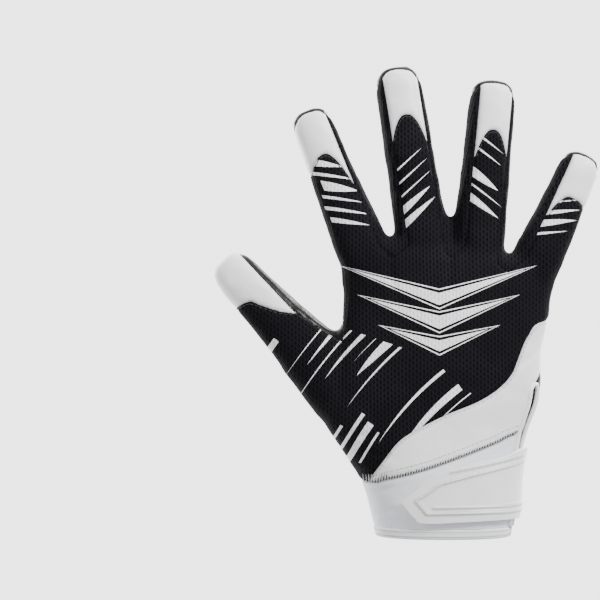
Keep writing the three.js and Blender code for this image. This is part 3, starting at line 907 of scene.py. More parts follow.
# %% Printed streaks
BACK_ARCS = [
    dict(x=84, z=-26, low=96, pitch=5.6, count=18, start=118, end=152, ragged=0.42,
         thin=0.5, thick=5.0, gap=0.3, top=113, bottom=0, seed=3),
    dict(x=84, z=-26, low=98.8, pitch=5.6, count=20, start=142, end=178, ragged=0.4,
         thin=0.6, thick=4.6, gap=0.25, top=113, bottom=37, seed=19),
]
PALM_ARCS = [
    dict(x=-118, z=-22, low=74, pitch=12.0, count=11, start=-4, end=84, ragged=0.34,
         thin=1.6, thick=10.5, gap=0.1, top=140, bottom=0, seed=7),
]
FINGER_BARS = [
    dict(digit="index", angle=30, low=6, pitch=5.4, count=6, reach=13, thick=4.6, seed=22),
    dict(digit="middle", angle=-34, low=9, pitch=5.6, count=7, reach=13, thick=4.8, seed=38),
    dict(digit="ring", angle=32, low=9, pitch=5.4, count=6, reach=12, thick=4.4, seed=46),
    dict(digit="pinky", angle=-30, low=7, pitch=5.0, count=4, reach=11, thick=4.0, seed=59),
]
ALL_BARS = dict(ragged=0.24, thin=0.8, gap=0.1, from_root=2, past_side=1)
# The rows of a chevron group give half the width and the thickness of each one.
BACK_CHEVRONS = dict(x=-3, z=95, tilt=0, slope=0.34, pitch=11.5, clear=4.5,
                     rows=[(24, 2.7), (34, 3.3), (43, 3.0)])
PALM_CHEVRONS = dict(x=3, z=74, tilt=28, slope=0.95, pitch=20.0, clear=6.0,
                     rows=[(30, 5.6), (38, 6.4), (42, 5.4)])
# A thin line follows each chevron, between these two distances, and runs out past its ends.
CHEVRON_LINE = dict(inner=1.4, inner_past=4, outer=2.1, outer_past=6)


def streaks(s, row, across, along, start, end):
    """1 on the streaks of a group: `across` counts the lanes and `along` runs down each."""
    lane = (across - row["low"]) / row["pitch"]
    number = s.math("FLOOR", lane)
    dice = s.node("ShaderNodeTexWhiteNoise", {"noise_dimensions": "1D"}, {"W": number + row["seed"]})["Color"]
    parts = s.node("ShaderNodeSeparateColor", {}, {"Color": dice})
    one, two, three = (Number(s, parts[key]) for key in ("Red", "Green", "Blue"))
    loose = row["ragged"] * (end - start)
    first, last = start + one * loose, end - two * loose
    share = (along - first) / (last - first)
    weight = s.highest((three - row["gap"]) / (1 - row["gap"]), 0.0)
    thickness = row["thin"] * (weight > 0) + weight * weight * (row["thick"] - row["thin"])
    width = thickness * (1 - share * share)
    away = abs(lane - number - 0.5) * row["pitch"]
    inside = (share > 0) * (share < 1) * (lane > 0) * (lane < row["count"])
    return (away < width * 0.5) * inside


def arc_mask(s, row):
    dx, dz = s.x - row["x"], s.z - row["z"]
    radius = (dx * dx + dz * dz) ** 0.5
    angle = s.math("ARCTAN2", dz, dx) * (180 / math.pi)
    arcs = streaks(s, row, radius, angle, row["start"], row["end"])
    return arcs * (s.z < row["top"]) * (s.z > row["bottom"])


def bar_mask(s, row):
    row = ALL_BARS | row
    digit = FINGERS[row["digit"]]
    root, along, across = axes_of(digit)
    dx, dz = s.x - root.x, s.z - root.z
    up = dx * along.x + dz * along.z
    side = dx * across.x + dz * across.z
    turn = math.radians(row["angle"])
    lane_way = up * math.cos(turn) + side * math.sin(turn)
    bar_way = side * math.cos(turn) - up * math.sin(turn)
    centred = bar_way + lane_way * math.tan(turn)
    bars = streaks(s, row, lane_way, centred, -row["reach"], row["reach"])
    return bars * (abs(side) < digit["root"] / 2 + row["past_side"]) * (up > row["from_root"])


def chevron_masks(s, group):
    """The chevrons' white, and the place round them that stays clear of streaks."""
    tilt = math.radians(group["tilt"])
    dx, dz = s.x - group["x"], s.z - group["z"]
    side = abs(dx * math.cos(tilt) + dz * math.sin(tilt))
    rise = dz * math.cos(tilt) - dx * math.sin(tilt) - side * group["slope"]
    line = CHEVRON_LINE
    white = 0.0
    for index, (half, thick) in enumerate(group["rows"]):
        away = abs(rise - index * group["pitch"])
        body = away < (1 - side / half) * thick
        below = away < (1 - side / (half + line["outer_past"])) * (thick + line["outer"])
        above = away > (1 - side / (half + line["inner_past"])) * (thick + line["inner"])
        rim = below * above * (side < half + line["outer_past"])
        white = s.highest(s.highest(body, rim), white)
    top = group["pitch"] * (len(group["rows"]) - 1) + group["rows"][-1][1] + group["clear"]
    widest = max(half for half, _ in group["rows"]) + 2 * group["clear"]
    clear = (rise > -group["rows"][0][1] - group["clear"]) * (rise < top) * (side < widest)
    return white, clear


def printed(s, arcs, chevrons, bars=()):
    streak = 0.0
    for row in arcs:
        streak = s.highest(arc_mask(s, row), streak)
    for row in bars:
        streak = s.highest(bar_mask(s, row), streak)
    white, clear = chevron_masks(s, chevrons)
    return s.highest(streak * (1 - clear), white)


print("groups of streaks:", len(BACK_ARCS) + len(PALM_ARCS) + len(FINGER_BARS))

# %% [markdown]
# The back is a stretch mesh: upright rows of small oval holes, every second row shifted by half a step, with
# soft ribs between the rows. The rows are counted from side to side where the cloth faces forward, and from
# front to back where it faces sideways, so they don't smear round the side of a finger.

# %% Mesh cloth
MESH = {"width": 1.75, "height": 2.7, "depth": 0.34, "sway": 2.0, "sway_size": 40.0}
HOLE = {"width": 0.62, "height": 0.72, "floor": 0.35, "edge": 1.25}  # shares of the mesh's step
# the first colour is the painted shade inside the holes, the others the yarn's own tones
MESH_HOLE_SHADE = (0.0012, 0.0011, 0.0017, 1)
MESH_YARN = (0.0062, 0.0055, 0.0078, 1)
MESH_WORN = (0.0098, 0.0088, 0.012, 1)


def mesh_height(s):
    """Height of the mesh: 0 in the holes, 1 on the ribs."""
    column = (s.around + s.noise(MESH["sway_size"], 1.0) * MESH["sway"]) / MESH["width"]
    row = s.z / MESH["height"] + s.math("FLOOR", column) * 0.5
    across, down = s.zigzag(column), s.zigzag(row)
    oval = (across / HOLE["width"]) ** 2.0 + (down / HOLE["height"]) ** 2.0
    return s.smooth(oval, HOLE["floor"], HOLE["edge"]) * 0.75 + s.smooth(across, 0.3, 1.0) * 0.25


def mesh_cloth(name, print_mask=None, strength=1.0):
    s = Shader(name)
    height = mesh_height(s)
    fibre = s.noise(0.35, 1.0)
    worn = s.smooth(s.noise(26.0, 3.0), 0.45, 0.75)
    # painted shade: the holes are near black and the low parts of the ribs darker; 'worn' is a random lighter
    # tone
    colour = s.mix(height * (0.75 + fibre * 0.35), MESH_HOLE_SHADE, s.mix(worn, MESH_YARN, MESH_WORN))
    rough = 0.74 + fibre * 0.16
    if print_mask is not None:
        mask = print_mask(s)
        # the print is also painted darker in the holes, as shade
        colour = s.mix(mask, colour, s.mix(height * 0.6 + fibre * 0.4, grey(0.7), grey(0.88)))
        rough = rough - mask * 0.2
    s.bump(height * 0.88 + fibre * 0.12, MESH["depth"] * strength)
    s.set(Base_Color=colour, Roughness=rough, Specular_IOR_Level=0.08)


mesh_cloth("back_mesh", lambda s: printed(s, BACK_ARCS, BACK_CHEVRONS, FINGER_BARS))
mesh_cloth("side_mesh", strength=1.2)
print("mesh holes:", MESH["width"], "by", MESH["height"], "mm apart")

# %% [markdown]
# The palm is silicone over cloth. It is nearly black and glossy, and its highlights run in soft broken
# lines, because the cloth under it is slightly uneven. Two sizes of low relief make them wander, and faint
# smudges change the roughness as touched silicone does.

# %% Silicone
SILICONE = {"rough": 0.09, "relief": 0.42, "specular": 0.13}


def silicone(name, print_mask=None, dull=0.0):
    s = Shader(name)
    smudge = s.noise(16.0, 3.0)
    pull = s.noise(5.5, 2.0, s.vector(s.x * 0.55, s.y, s.z))
    fine = s.noise(0.5, 1.0)
    colour = s.mix(smudge, grey(0.0025), grey(0.006))
    rough = SILICONE["rough"] + dull + smudge * 0.1
    if print_mask is not None:
        mask = print_mask(s)
        colour = s.mix(mask, colour, s.mix(smudge, grey(0.76), grey(0.84)))
        rough = rough + mask * 0.06
    s.bump(pull * 0.85 + fine * 0.05, SILICONE["relief"])
    s.set(Base_Color=colour, Roughness=rough, Specular_IOR_Level=SILICONE["specular"])


silicone("silicone", lambda s: printed(s, PALM_ARCS, PALM_CHEVRONS))
silicone("silicone_plain", dull=0.2)
print("silicone finishes: printed and plain")

# %% [markdown]
# The caps and the side panel are smooth white synthetic leather with a very fine grain. The cuff is a
# knit with upright ribs, the hem is woven elastic, and the strap is matte rubber. White on white only shows
# by its shadows, so shade is painted into the colour: along the seams, on the flanks of the raised ribs, and
# in the low parts of every grain, weave and twist. The label is a plain black weave, and the thread is
# twisted.

# %% White materials, label and thread
WHITE_LOW = (0.74, 0.74, 0.745, 1)
WHITE_HIGH = (0.84, 0.84, 0.835, 1)
GRAIN = 0.7
KNIT = {"rib": 1.1, "loop": 0.95, "sag": 0.393, "depth": 0.16}
ELASTIC = {"warp": 0.9, "weft": 0.7, "depth": 0.3, "groove_middle": 2.5, "groove_apart": 1.15}
LABEL_WEAVE = {"warp": 0.6, "weft": 0.55, "depth": 0.12}
TWIST = {"pitch": 0.45, "depth": 0.06}


def white_leather():
    s = Shader("white_leather")
    cells = s.node("ShaderNodeTexVoronoi", {}, {"Vector": s.place, "Scale": 1 / GRAIN})["Distance"]
    pores = s.smooth(Number(s, cells), 0.0, 0.5)
    soft = s.noise(22.0, 3.0)
    # random tone, and painted shade in the grain's pores
    colour = s.mix(soft * 0.5 + pores * 0.5, WHITE_LOW, WHITE_HIGH)
    # painted shade along the seams, from the 'seam' layer
    colour = s.mix(s.attribute("seam") * 0.75, colour, (0.3, 0.3, 0.315, 1))
    s.bump(pores * 0.1 + s.noise(20.0, 1.0) * 0.9, 1.1)
    s.set(Base_Color=colour, Roughness=0.4 + soft * 0.14, Coat_Weight=0.08)


def knit():
    s = Shader("knit")
    ribs = s.zigzag(s.around / KNIT["rib"])
    loops = s.wave(s.z + ribs * KNIT["sag"], KNIT["loop"])
    height = (1 - ribs * ribs) * 0.65 + loops * 0.35
    fuzz = s.noise(0.4, 2.0)
    # painted shade in the valleys between the ribs and loops, with random fuzz
    colour = s.mix(height * 0.5 + fuzz * 0.5, (0.6, 0.62, 0.68, 1), (0.8, 0.815, 0.86, 1))
    # painted shade along the seams, from the 'seam' layer
    colour = s.mix(s.attribute("seam") * 0.8, colour, (0.27, 0.28, 0.31, 1))
    s.bump(height * 0.7 + fuzz * 0.3, KNIT["depth"])
    s.set(Base_Color=colour, Roughness=0.86, Sheen_Weight=0.15)


def elastic():
    s = Shader("elastic")
    weave = s.zigzag(s.around / ELASTIC["warp"])
    lines = s.wave(s.z, ELASTIC["weft"])
    from_groove = abs(abs(s.z - ELASTIC["groove_middle"]) - ELASTIC["groove_apart"])
    height = (weave * 0.5 + lines * 0.5) * 0.4 + s.smooth(from_groove, 0.1, 0.35) * 0.6
    # painted shade in the two grooves and the low threads of the weave
    colour = s.mix(height, (0.48, 0.49, 0.52, 1), (0.84, 0.845, 0.86, 1))
    s.bump(height, ELASTIC["depth"])
    s.set(Base_Color=colour, Roughness=0.8)


def rubber():
    s = Shader("rubber")
    soft = s.noise(14.0, 2.0)
    flank = s.attribute("relief")
    colour = s.mix(soft, (0.74, 0.745, 0.75, 1), WHITE_HIGH)
    # painted shade on the flanks of the raised ribs, darkest halfway up
    colour = s.mix(flank * (1 - flank) * 2.6, colour, (0.42, 0.42, 0.43, 1))
    s.bump(s.noise(0.45, 1.0), 0.05)
    s.set(Base_Color=colour, Roughness=0.42 + soft * 0.1)


def label_cloth():
    s = Shader("label")
    height = s.wave(s.z, LABEL_WEAVE["weft"]) * 0.6 + s.wave(s.x, LABEL_WEAVE["warp"]) * 0.4
    s.bump(height, LABEL_WEAVE["depth"])
    # painted shade in the low threads of the weave
    s.set(Base_Color=s.mix(height, grey(0.004), grey(0.016)), Roughness=0.75, Specular_IOR_Level=0.12)


def thread(name, value):
    s = Shader(name)
    twist = s.wave(s.x + s.z + s.y, TWIST["pitch"])
    s.bump(twist, TWIST["depth"])
    # painted shade in the grooves of the twist
    s.set(Base_Color=s.mix(twist, grey(value * 0.6), grey(value)), Roughness=0.7)


white_leather()
knit()
elastic()
rubber()
label_cloth()
thread("thread_white", 0.72)
thread("thread_black", 0.02)
print("materials:", ", ".join(MATERIALS))

# %% [markdown]
# Where two panels are sewn together, the thread pulls both edges in, so every seam lies in a small valley
# and the panels between are a little proud. The valley is pressed into the whole skin before the panels are
# parted, so both sides of a seam stay together. Each point near a seam also keeps how near it lies, which
# the white finishes use to paint shade along the seam.

# %% Press the seams in
# 'shade' is how far the painted shade reaches from a seam
SEAM_PRESS = {"depth": 0.62, "width": 1.25, "shade": 0.8, "reach": 5.0}


def seam_edges(bm, names=None):
    """Edges between two panels, or with names, between those two."""
    layer = bm.faces.layers.int["panel"]
    wanted = {PANELS.index(n) for n in names} if names else None
    found = []
    for e in bm.edges:
        if len(e.link_faces) == 2:
            pair = {f[layer] for f in e.link_faces}
            if len(pair) == 2 and (wanted is None or pair == wanted):
                found.append(e)
    return found


def bell(away, width):
    return math.exp(-((away / width) ** 2))


def press_seams(bm):
    tree = KDTree(len(bm.verts))
    for v in dict.fromkeys(v for e in seam_edges(bm) for v in e.verts):
        tree.insert(v.co, v.index)
    tree.balance()
    bm.normal_update()
    # a layer of painted shade along the seams: 1 on a seam, fading away from it
    shade = bm.verts.layers.float.new("seam")
    moves = []
    for v in bm.verts:
        _, _, away = tree.find(v.co)
        if away is not None and away < SEAM_PRESS["reach"]:
            v[shade] = bell(away, SEAM_PRESS["shade"])
            moves.append((v, SEAM_PRESS["depth"] * bell(away, SEAM_PRESS["width"])))
    for v, depth in moves:
        v.co -= v.normal * depth


skin.verts.index_update()
press_seams(skin)
skin_tree = BVHTree.FromBMesh(skin)
print("seam edges:", len(seam_edges(skin)))

# %% [markdown]
# Each panel becomes a piece of its own that stands for one solid of the model. Solidify gives the cloth
# its thickness, towards the hand, so the outside stays where the skin was cut.

# %% Part the panels
def finish_piece(obj, material, slot_name, *nodes):
    obj.data.materials.clear()
    obj.data.materials.append(MATERIALS[material])
    for polygon in obj.data.polygons:
        polygon.use_smooth = True
    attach(obj, "root")
    if nodes:
        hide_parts(*nodes)


def thicken(obj, thickness):
    solid = obj.modifiers.new("thickness", "SOLIDIFY")
    solid.thickness = thickness * MM
    solid.offset = -1
    solid.use_even_offset = False


PANEL_FINISH = {name: ("white_leather", "white_cloth") for name in PANELS if name.startswith("tip_cap")}
PANEL_FINISH |= {name: ("side_mesh", "mesh_cloth") for name in PANELS if name.startswith("fourchette")}
PANEL_FINISH |= {
    "palm_panel": ("silicone", "silicone"),
    "thumb_palm": ("silicone_plain", "silicone"),
    "back_panel": ("back_mesh", "mesh_cloth"),
    "side_panel": ("white_leather", "white_cloth"),
    "cuff": ("knit", "knit"),
}


def part_panels(bm):
    for number, name in enumerate(PANELS):
        part = bm.copy()
        layer = part.faces.layers.int["panel"]
        bmesh.ops.delete(part, geom=[f for f in part.faces if f[layer] != number], context="FACES")
        panel = object_from(part, name + "_cloth")
        material, slot_name = PANEL_FINISH[name]
        finish_piece(panel, material, slot_name, name)
        thicken(panel, WALL)


part_panels(skin)
print("panels parted:", len(PANELS))

# %% [markdown]
# The hem is a folded elastic tape. Its section is a rounded band swept round the wrist opening: rings of
# the same rounded form as the cuff, one for each point of the tape's section. It is open where the slit is.

# %% Hem binding
HEM = {"height": 5.2, "swell": 0.75, "wall": 1.5}
HEM_SECTION = [(-1.0, 0.1), (-1.0, 0.55), (-0.9, 0.9), (-0.5, 1.0), (0.1, 1.0), (0.6, 0.97), (0.92, 0.86),
               (1.0, 0.66), (0.93, 0.56), (0.93, 0.5), (1.0, 0.42), (1.0, 0.2), (0.82, 0.04), (0.3, 0.0),
               (-0.6, 0.0)]


def palm_ring(bm, height, swell, count=160):
    """The cuff's section at a height in millimetres, swollen or shrunk."""
    rows = PALM_SECTIONS
    share = height / PALM["length"]
    row = {}
    for key in ("left", "right", "depth"):
        row[key] = float(np.interp(share, [r["height"] for r in rows], [r[key] for r in rows]))
    row.update(height=share, slope=0)
    return palm_sections(bm, swell, count, [row])[0]


def close_ends(bm):
    bmesh.ops.holes_fill(bm, edges=[e for e in bm.edges if e.is_boundary], sides=0)
    bmesh.ops.triangulate(bm, faces=[f for f in bm.faces if len(f.verts) > 4])
    bmesh.ops.recalc_face_normals(bm, faces=bm.faces)


def add_hem():
    bm = bmesh.new()
    middle = -HEM["wall"] / 2
    half = HEM["wall"] / 2 + HEM["swell"]
    rings = [palm_ring(bm, up * HEM["height"], middle + out * half) for out, up in HEM_SECTION]
    add_tube(bm, rings + [rings[0]], closed=False)
    open_slit(bm)
    close_ends(bm)
    hem = object_from(bm, "hem_tape")
    finish_piece(hem, "elastic", "binding", "hem_binding")


add_hem()
print("hem tape:", HEM["height"], "mm high")

# %% [markdown]
# The slit on the little finger's side lets the hand in. Its edge is bound with a thin white rubber piping:
# a round cord form that follows the cut edge. The path is read from the skin's own open edge there, so the
# piping lies exactly on the cloth. A curve with a round bevel sweeps the section along it.

# %% Slit binding
PIPING = {"radius": 1.25, "step": 3}
ABOVE_HEM = 0.05  # the slit's edge starts this far above the hem


def chain(edges):
    """Orders edges that meet end to end into lists of points."""
    links = {}
    for e in edges:
        for v in e.verts:
            links.setdefault(v, []).append(e)
    unused = dict.fromkeys(edges)
    paths = []
    while unused:
        ends = [v for v, es in links.items() if sum(e in unused for e in es) == 1]
        here = ends[0] if ends else next(iter(unused)).verts[0]
        path = [here]
        while True:
            onward = [e for e in links[here] if e in unused]
            if not onward:
                break
            del unused[onward[0]]
            here = onward[0].other_vert(here)
            path.append(here)
        paths.append([v.co.copy() for v in path])
    return sorted(paths, key=len, reverse=True)


def resampled(points, step, rounds=3):
    """Points at equal steps along a path, smoothed a little."""
    for _ in range(rounds):
        inner = [(a + 2 * b + c) / 4 for a, b, c in zip(points, points[1:], points[2:])]
        points = [points[0]] + inner + [points[-1]]
    lengths = [0.0]
    for a, b in zip(points, points[1:]):
        lengths.append(lengths[-1] + (b - a).length)
    count = max(2, round(lengths[-1] / step))
    places = np.linspace(0, lengths[-1], count + 1)
    columns = [np.interp(places, lengths, [p[i] for p in points]) for i in range(3)]
    return [Vector(p) for p in zip(*columns)]


def tube_along(points, radius, name):
    """A round cord along points, as a mesh."""
    data = bpy.data.curves.new(name, "CURVE")
    data.dimensions = "3D"
    data.bevel_depth = radius * MM
    data.bevel_resolution = 3
    data.use_fill_caps = True
    spline = data.splines.new("POLY")
    spline.points.add(len(points) - 1)
    for target, point in zip(spline.points, points):
        target.co = (*(point * MM), 1)
    curve = bpy.data.objects.new(name + "_curve", data)
    bpy.context.scene.collection.objects.link(curve)
    bm = baked(curve)
    bmesh.ops.remove_doubles(bm, verts=bm.verts, dist=1e-6)
    return object_from(bm, name, scale=False)


def on_slit(edge):
    places = [v.co for v in edge.verts]
    return edge.is_boundary and all(p.z > HEM_TOP + ABOVE_HEM and p.x > SLIT["from_x"] for p in places)


slit_path = chain([e for e in skin.edges if on_slit(e)])[0]
slit_points = resampled(slit_path, PIPING["step"])
piping = tube_along(slit_points, PIPING["radius"], "slit_piping")
finish_piece(piping, "rubber", "white_rubber", "slit_binding")
print("slit piping points:", len(slit_points))

# %% [markdown]
# Round each fingertip the palm's edge is turned over and sewn to the cap, which shows as a thin black line.
# It is the same cord form, thinner, laid along the seam between the cap and the palm.

# %% Fingertip edging
EDGING = {"radius": 0.42, "step": 1.6, "out": 0.08}


def add_edging():
    for name in PANELS:
        if not name.startswith("tip_cap"):
            continue
        under = "thumb_palm" if name.endswith("thumb") else "palm_panel"
        path = chain(seam_edges(skin, (name, under)))[0]
        points = resampled(path, EDGING["step"])
        points = [p + skin_tree.find_nearest(p)[1] * EDGING["out"] for p in points]
        cord = tube_along(points, EDGING["radius"], name + "_edging")
        finish_piece(cord, "silicone_plain", "silicone")


add_edging()
print("fingertip edging:", EDGING["radius"] * 2, "mm thick")

# %% [markdown]
# The strap is moulded rubber that wraps from the palm round the little finger's side and ends in a point on
# the back. It starts as rings of the cuff's own form, a little larger, cut to the strap's outline by the
# same cutting tool, and it gets its thickness and a bevelled edge. Each raised rib is a row of a table, a
# line whose points are pushed outwards, so it has soft moulded sides.

# %% Strap
STRAP = {"thickness": 2.0, "lift": 1.1, "low": 6.0, "high": 47.0, "rows": 62, "around": 240, "smooth": 6}
STRAP_TOP = [(-0.24, 0.105), (-0.209, 0.132), (-0.15, 0.171), (-0.063, 0.229), (0.083, 0.26), (0.277, 0.289),
             (0.379, 0.318), (0.5, 0.322)]
STRAP_BOTTOM = [(-0.24, 0.16), (-0.209, 0.132), (-0.185, 0.108), (-0.15, 0.079), (-0.107, 0.059),
                (0.083, 0.064), (0.277, 0.069), (0.5, 0.071)]
# On the palm side the strap is a plain band between two heights, as shares of the palm's length, and it
# ends at root_x. Round the wrist's side, one outline turns into the other from y to -y of turn.
STRAP_PALM = {"low": 0.074, "high": 0.3, "root_x": 17.0, "turn": 6.0}
STRAP_POINT_X = -22.5
STRAP_EDGE = {"bevel": 0.7, "segments": 2, "angle": 55}
RAISED = [
    dict(start=(-15.0, 19.5), end=(-3.0, 27.6), width=0.55, height=0.7),
    dict(start=(-3.0, 27.6), end=(12.0, 31.6), width=0.55, height=0.7),
    dict(start=(12.0, 31.6), end=(39.0, 37.6), width=0.55, height=0.7),
    dict(start=(-15.0, 19.5), end=(-9.5, 13.2), width=0.55, height=0.7),
    dict(start=(-9.5, 13.2), end=(39.5, 13.8), width=0.6, height=0.75),
    dict(start=(-6.5, 15.9), end=(39.5, 16.4), width=0.45, height=0.6),
    dict(start=(2.0, 33.2), end=(39.0, 40.4), width=0.4, height=0.45),
]
RAISED_TO_Y = 2.0  # the ribs end where the strap turns to the palm side
RIB_FOOT = 1.6  # a rib's side reaches this many of its widths from its middle line
FULL_RELIEF = 0.7
CUFF_RATIO = 1.6  # the cuff is about this much wider than deep, which tells what points out of it


def raised_height(co):
    total = np.zeros(len(co))
    for row in RAISED:
        _, away = beside_line(co, row)
        plateau = np.clip(RIB_FOOT - away / row["width"], 0, 1)
        total = np.maximum(total, row["height"] * plateau * plateau * (3 - 2 * plateau))
    return np.where(co[:, 1] < RAISED_TO_Y, total, 0)


def strap_fields():
    top, bottom = below_curve(STRAP_TOP), below_curve(STRAP_BOTTOM)
    palm_low, palm_high = (STRAP_PALM[key] * PALM["length"] for key in ("low", "high"))

    def on_palm(co):
        return np.clip((co[:, 1] + STRAP_PALM["turn"]) / (2 * STRAP_PALM["turn"]), 0, 1)

    return [
        lambda co: top(co) * (1 - on_palm(co)) + (co[:, 2] - palm_high) * on_palm(co),
        lambda co: -bottom(co) * (1 - on_palm(co)) + (palm_low - co[:, 2]) * on_palm(co),
        lambda co: np.where(co[:, 1] > 0, STRAP_PALM["root_x"] - co[:, 0], -OUTSIDE),
        lambda co: STRAP_POINT_X - co[:, 0],
    ]


def raise_ribs(bm):
    """Pushes the ribs out of the strap's outer side, and notes how high each point lies for the shade painted
    on the ribs' flanks.
    """
    bm.normal_update()
    lifts = raised_height(coordinates(bm))
    outwards = [v.normal.dot(Vector((v.co.x, v.co.y * CUFF_RATIO, 0)).normalized()) for v in bm.verts]
    relief = bm.verts.layers.float.new("relief")
    for v, lift, way in zip(bm.verts, lifts, outwards):
        if way > 0.5:
            v.co += v.normal * float(lift)
            v[relief] = min(float(lift) / FULL_RELIEF, 1.0)


def add_strap():
    bm = bmesh.new()
    heights = np.linspace(STRAP["low"], STRAP["high"], STRAP["rows"])
    rings = [palm_ring(bm, float(z), STRAP["lift"], STRAP["around"]) for z in heights]
    add_tube(bm, rings, closed=False)
    bmesh.ops.recalc_face_normals(bm, faces=bm.faces)
    keep_inside(bm, strap_fields())
    for _ in range(STRAP["smooth"]):
        relax(bm, [v for v in bm.verts if not v.is_boundary], 0.5)
    bm.normal_update()
    bmesh.ops.solidify(bm, geom=bm.faces, thickness=-STRAP["thickness"])
    bmesh.ops.recalc_face_normals(bm, faces=bm.faces)
    raise_ribs(bm)
    strap = object_from(bm, "strap_moulded")
    finish_piece(strap, "rubber", "white_rubber", "strap")
    edge = strap.modifiers.new("edge", "BEVEL")
    edge.width = STRAP_EDGE["bevel"] * MM
    edge.segments = STRAP_EDGE["segments"]
    edge.limit_method = "ANGLE"
    edge.angle_limit = math.radians(STRAP_EDGE["angle"])


add_strap()
print("strap ribs:", len(RAISED))

# %% [markdown]
# A small black woven tab hangs from the seam on the thumb's side of the palm. It lies on the cuff, so it is
# a slanted strip of the cuff's own form, lifted a little, with its lower end standing off.

# %% Label
LABEL = dict(
    x=-38.0, slant=13.0, width=9.0, length=34.0, top=38.0, lift=1.0, thickness=0.8, rows=24, around=200
)
LABEL_BEND = {"lower_end": 0.9, "ripple": 0.25, "ripple_step": 4.0}


def label_fields():
    def left(co):
        return LABEL["x"] + LABEL["slant"] * (LABEL["top"] - co[:, 2]) / LABEL["length"]

    return [
        lambda co: -co[:, 1],
        lambda co: left(co) - co[:, 0],
        lambda co: co[:, 0] - left(co) - LABEL["width"],
    ]


def add_label():
    bm = bmesh.new()
    heights = np.linspace(LABEL["top"] - LABEL["length"], LABEL["top"], LABEL["rows"])
    rings = [palm_ring(bm, float(z), LABEL["lift"], LABEL["around"]) for z in heights]
    add_tube(bm, rings, closed=False)
    bmesh.ops.recalc_face_normals(bm, faces=bm.faces)
    keep_inside(bm, label_fields())
    for v in bm.verts:
        low = 1 - (v.co.z - LABEL["top"] + LABEL["length"]) / LABEL["length"]
        ripple = LABEL_BEND["ripple"] * math.sin(v.co.z / LABEL_BEND["ripple_step"])
        v.co.y += LABEL_BEND["lower_end"] * low * low + ripple
    bmesh.ops.solidify(bm, geom=bm.faces, thickness=-LABEL["thickness"])
    bmesh.ops.recalc_face_normals(bm, faces=bm.faces)
    label = object_from(bm, "label_tab")
    finish_piece(label, "label", "label_cloth", "label")


add_label()
print("label:", LABEL["width"], "by", LABEL["length"], "mm")

# %% [markdown]
# Thread is what makes a sewn thing look sewn. Each row of stitches follows a seam at a small distance. One
# stitch is a six-sided rod with a few faces, turned along the seam and sunk nearly halfway into the cloth.

# %% Stitches
STITCH = {"length": 1.7, "step": 2.5, "radius": 0.24, "sides": 6, "proud": 0.25, "shortest": 6}
THREAD_SLOTS = {"black": "label_cloth", "white": "knit"}
# Which two panels a seam joins, which of them carries the row of stitches, and how far from the seam.
STITCH_ROWS = [
    dict(pair=("tip_cap_" + name, "back_panel"), on="back_panel", offset=1.1, thread="black")
    for name in ("index", "middle", "ring", "pinky", "thumb")
]
STITCH_ROWS += [
    dict(pair=("side_panel", "back_panel"), on="side_panel", offset=1.3, thread="white"),
    dict(pair=("side_panel", "cuff"), on="side_panel", offset=3.6, thread="white"),
    dict(pair=("side_panel", "cuff"), on="side_panel", offset=1.2, thread="white"),
    dict(pair=("thumb_palm", "back_panel"), on="back_panel", offset=0.9, thread="black"),
    dict(pair=("thumb_palm", "palm_panel"), on="palm_panel", offset=1.3, thread="black"),
    dict(pair=("palm_panel", "back_panel"), on="back_panel", offset=1.2, thread="black"),
    dict(pair=("palm_panel", "cuff"), on="cuff", offset=1.3, thread="white"),
]


def add_stitch(out, place, along, normal, length=STITCH["length"], radius=STITCH["radius"]):
    verts = bmesh.ops.create_cone(out, cap_ends=True, cap_tris=False, segments=STITCH["sides"],
                                  radius1=radius, radius2=radius, depth=length)["verts"]
    along = (along - normal * along.dot(normal)).normalized()
    turn = Matrix((normal.cross(along), normal, along)).transposed().to_4x4()
    turn.translation = place + normal * radius * STITCH["proud"]
    bmesh.ops.transform(out, matrix=turn, verts=verts)


def stitch_row(bm, row, out):
    """Adds one row of stitches to the bmesh `out`."""
    layer = bm.faces.layers.int["panel"]
    target = PANELS.index(row["on"])
    for path in chain(seam_edges(bm, row["pair"])):
        if len(path) < STITCH["shortest"]:
            continue
        points = resampled(path, STITCH["step"])
        for a, b in zip(points, points[1:]):
            middle, along = (a + b) / 2, (b - a).normalized()
            _, normal, _, _ = skin_tree.find_nearest(middle)
            sideways = normal.cross(along).normalized() * row["offset"]
            hits = [skin_tree.find_nearest(middle + sideways * sign) for sign in (1, -1)]
            on_target = [hit for hit in hits if bm.faces[hit[2]][layer] == target]
            if on_target:
                place, normal, _, _ = on_target[0]
                add_stitch(out, place, along, normal)


def add_stitches():
    skin.faces.ensure_lookup_table()
    for thread_name, slot_name in THREAD_SLOTS.items():
        out = bmesh.new()
        for row in STITCH_ROWS:
            if row["thread"] == thread_name:
                stitch_row(skin, row, out)
        print(thread_name, "stitches:", len(out.faces) // (STITCH["sides"] + 2))
        stitches = object_from(out, f"stitches_{thread_name}")
        finish_piece(stitches, "thread_" + thread_name, slot_name)


add_stitches()

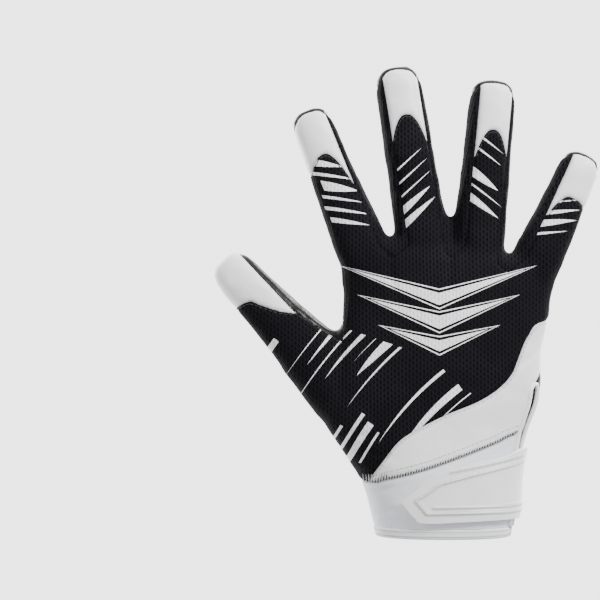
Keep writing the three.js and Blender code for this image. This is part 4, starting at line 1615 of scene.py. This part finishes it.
# %% [markdown]
# The edge of the wrist panel is overlocked: a thread zigzags over the raw edge, in white with black showing
# between. It runs along the whole wrist seam and shows most at the thumb's side.

# %% Overlocked edge
OVERLOCK = {"pitch": 1.3, "radius": 0.24, "from_x": -42.23, "until_x": 36.0, "below": 0.5, "lean": 0.5}
OVERLOCK_REACH = {"near_thumb": 3.9, "elsewhere": 1.612, "change_x": -29.0}
IN_FRONT = -60.0  # a y in front of the glove, where the search for the cloth starts


def overlock_strand(x, lean):
    """The lower and the upper end of one strand, on the cloth, with the cloth's normal, or nothing."""
    xs, zs = smooth_curve(WRIST_SEAM, PALM["width"], PALM["length"])
    seam_z = float(np.interp(x, xs, zs))
    near_thumb = x < OVERLOCK_REACH["change_x"]
    reach = OVERLOCK_REACH["near_thumb" if near_thumb else "elsewhere"]
    low = Vector((x, IN_FRONT, seam_z - OVERLOCK["below"]))
    high = Vector((x + lean * OVERLOCK["pitch"], IN_FRONT, seam_z + reach))
    a, normal, _, _ = skin_tree.ray_cast(low, Vector((0, 1, 0)))
    b, _, _, _ = skin_tree.ray_cast(high, Vector((0, 1, 0)))
    if a is None or b is None or (b - a).length > 2 * reach:
        return None
    return a, b, normal


def add_overlock():
    leans = {"white": -OVERLOCK["lean"], "black": OVERLOCK["lean"]}
    count = round((OVERLOCK["until_x"] - OVERLOCK["from_x"]) / OVERLOCK["pitch"])
    for thread_name, lean in leans.items():
        out = bmesh.new()
        for i in range(count):
            strand = overlock_strand(OVERLOCK["from_x"] + i * OVERLOCK["pitch"], lean)
            if strand:
                a, b, normal = strand
                way = b - a
                add_stitch(out, (a + b) / 2, way.normalized(), normal, way.length, OVERLOCK["radius"])
        overlock = object_from(out, f"overlock_{thread_name}")
        finish_piece(overlock, "thread_" + thread_name, THREAD_SLOTS[thread_name])
    print("overlock strands:", count * len(leans))


add_overlock()

# %% [markdown]
# The last step brings the scene up to date.

# %% Finish
bpy.context.view_layer.update()
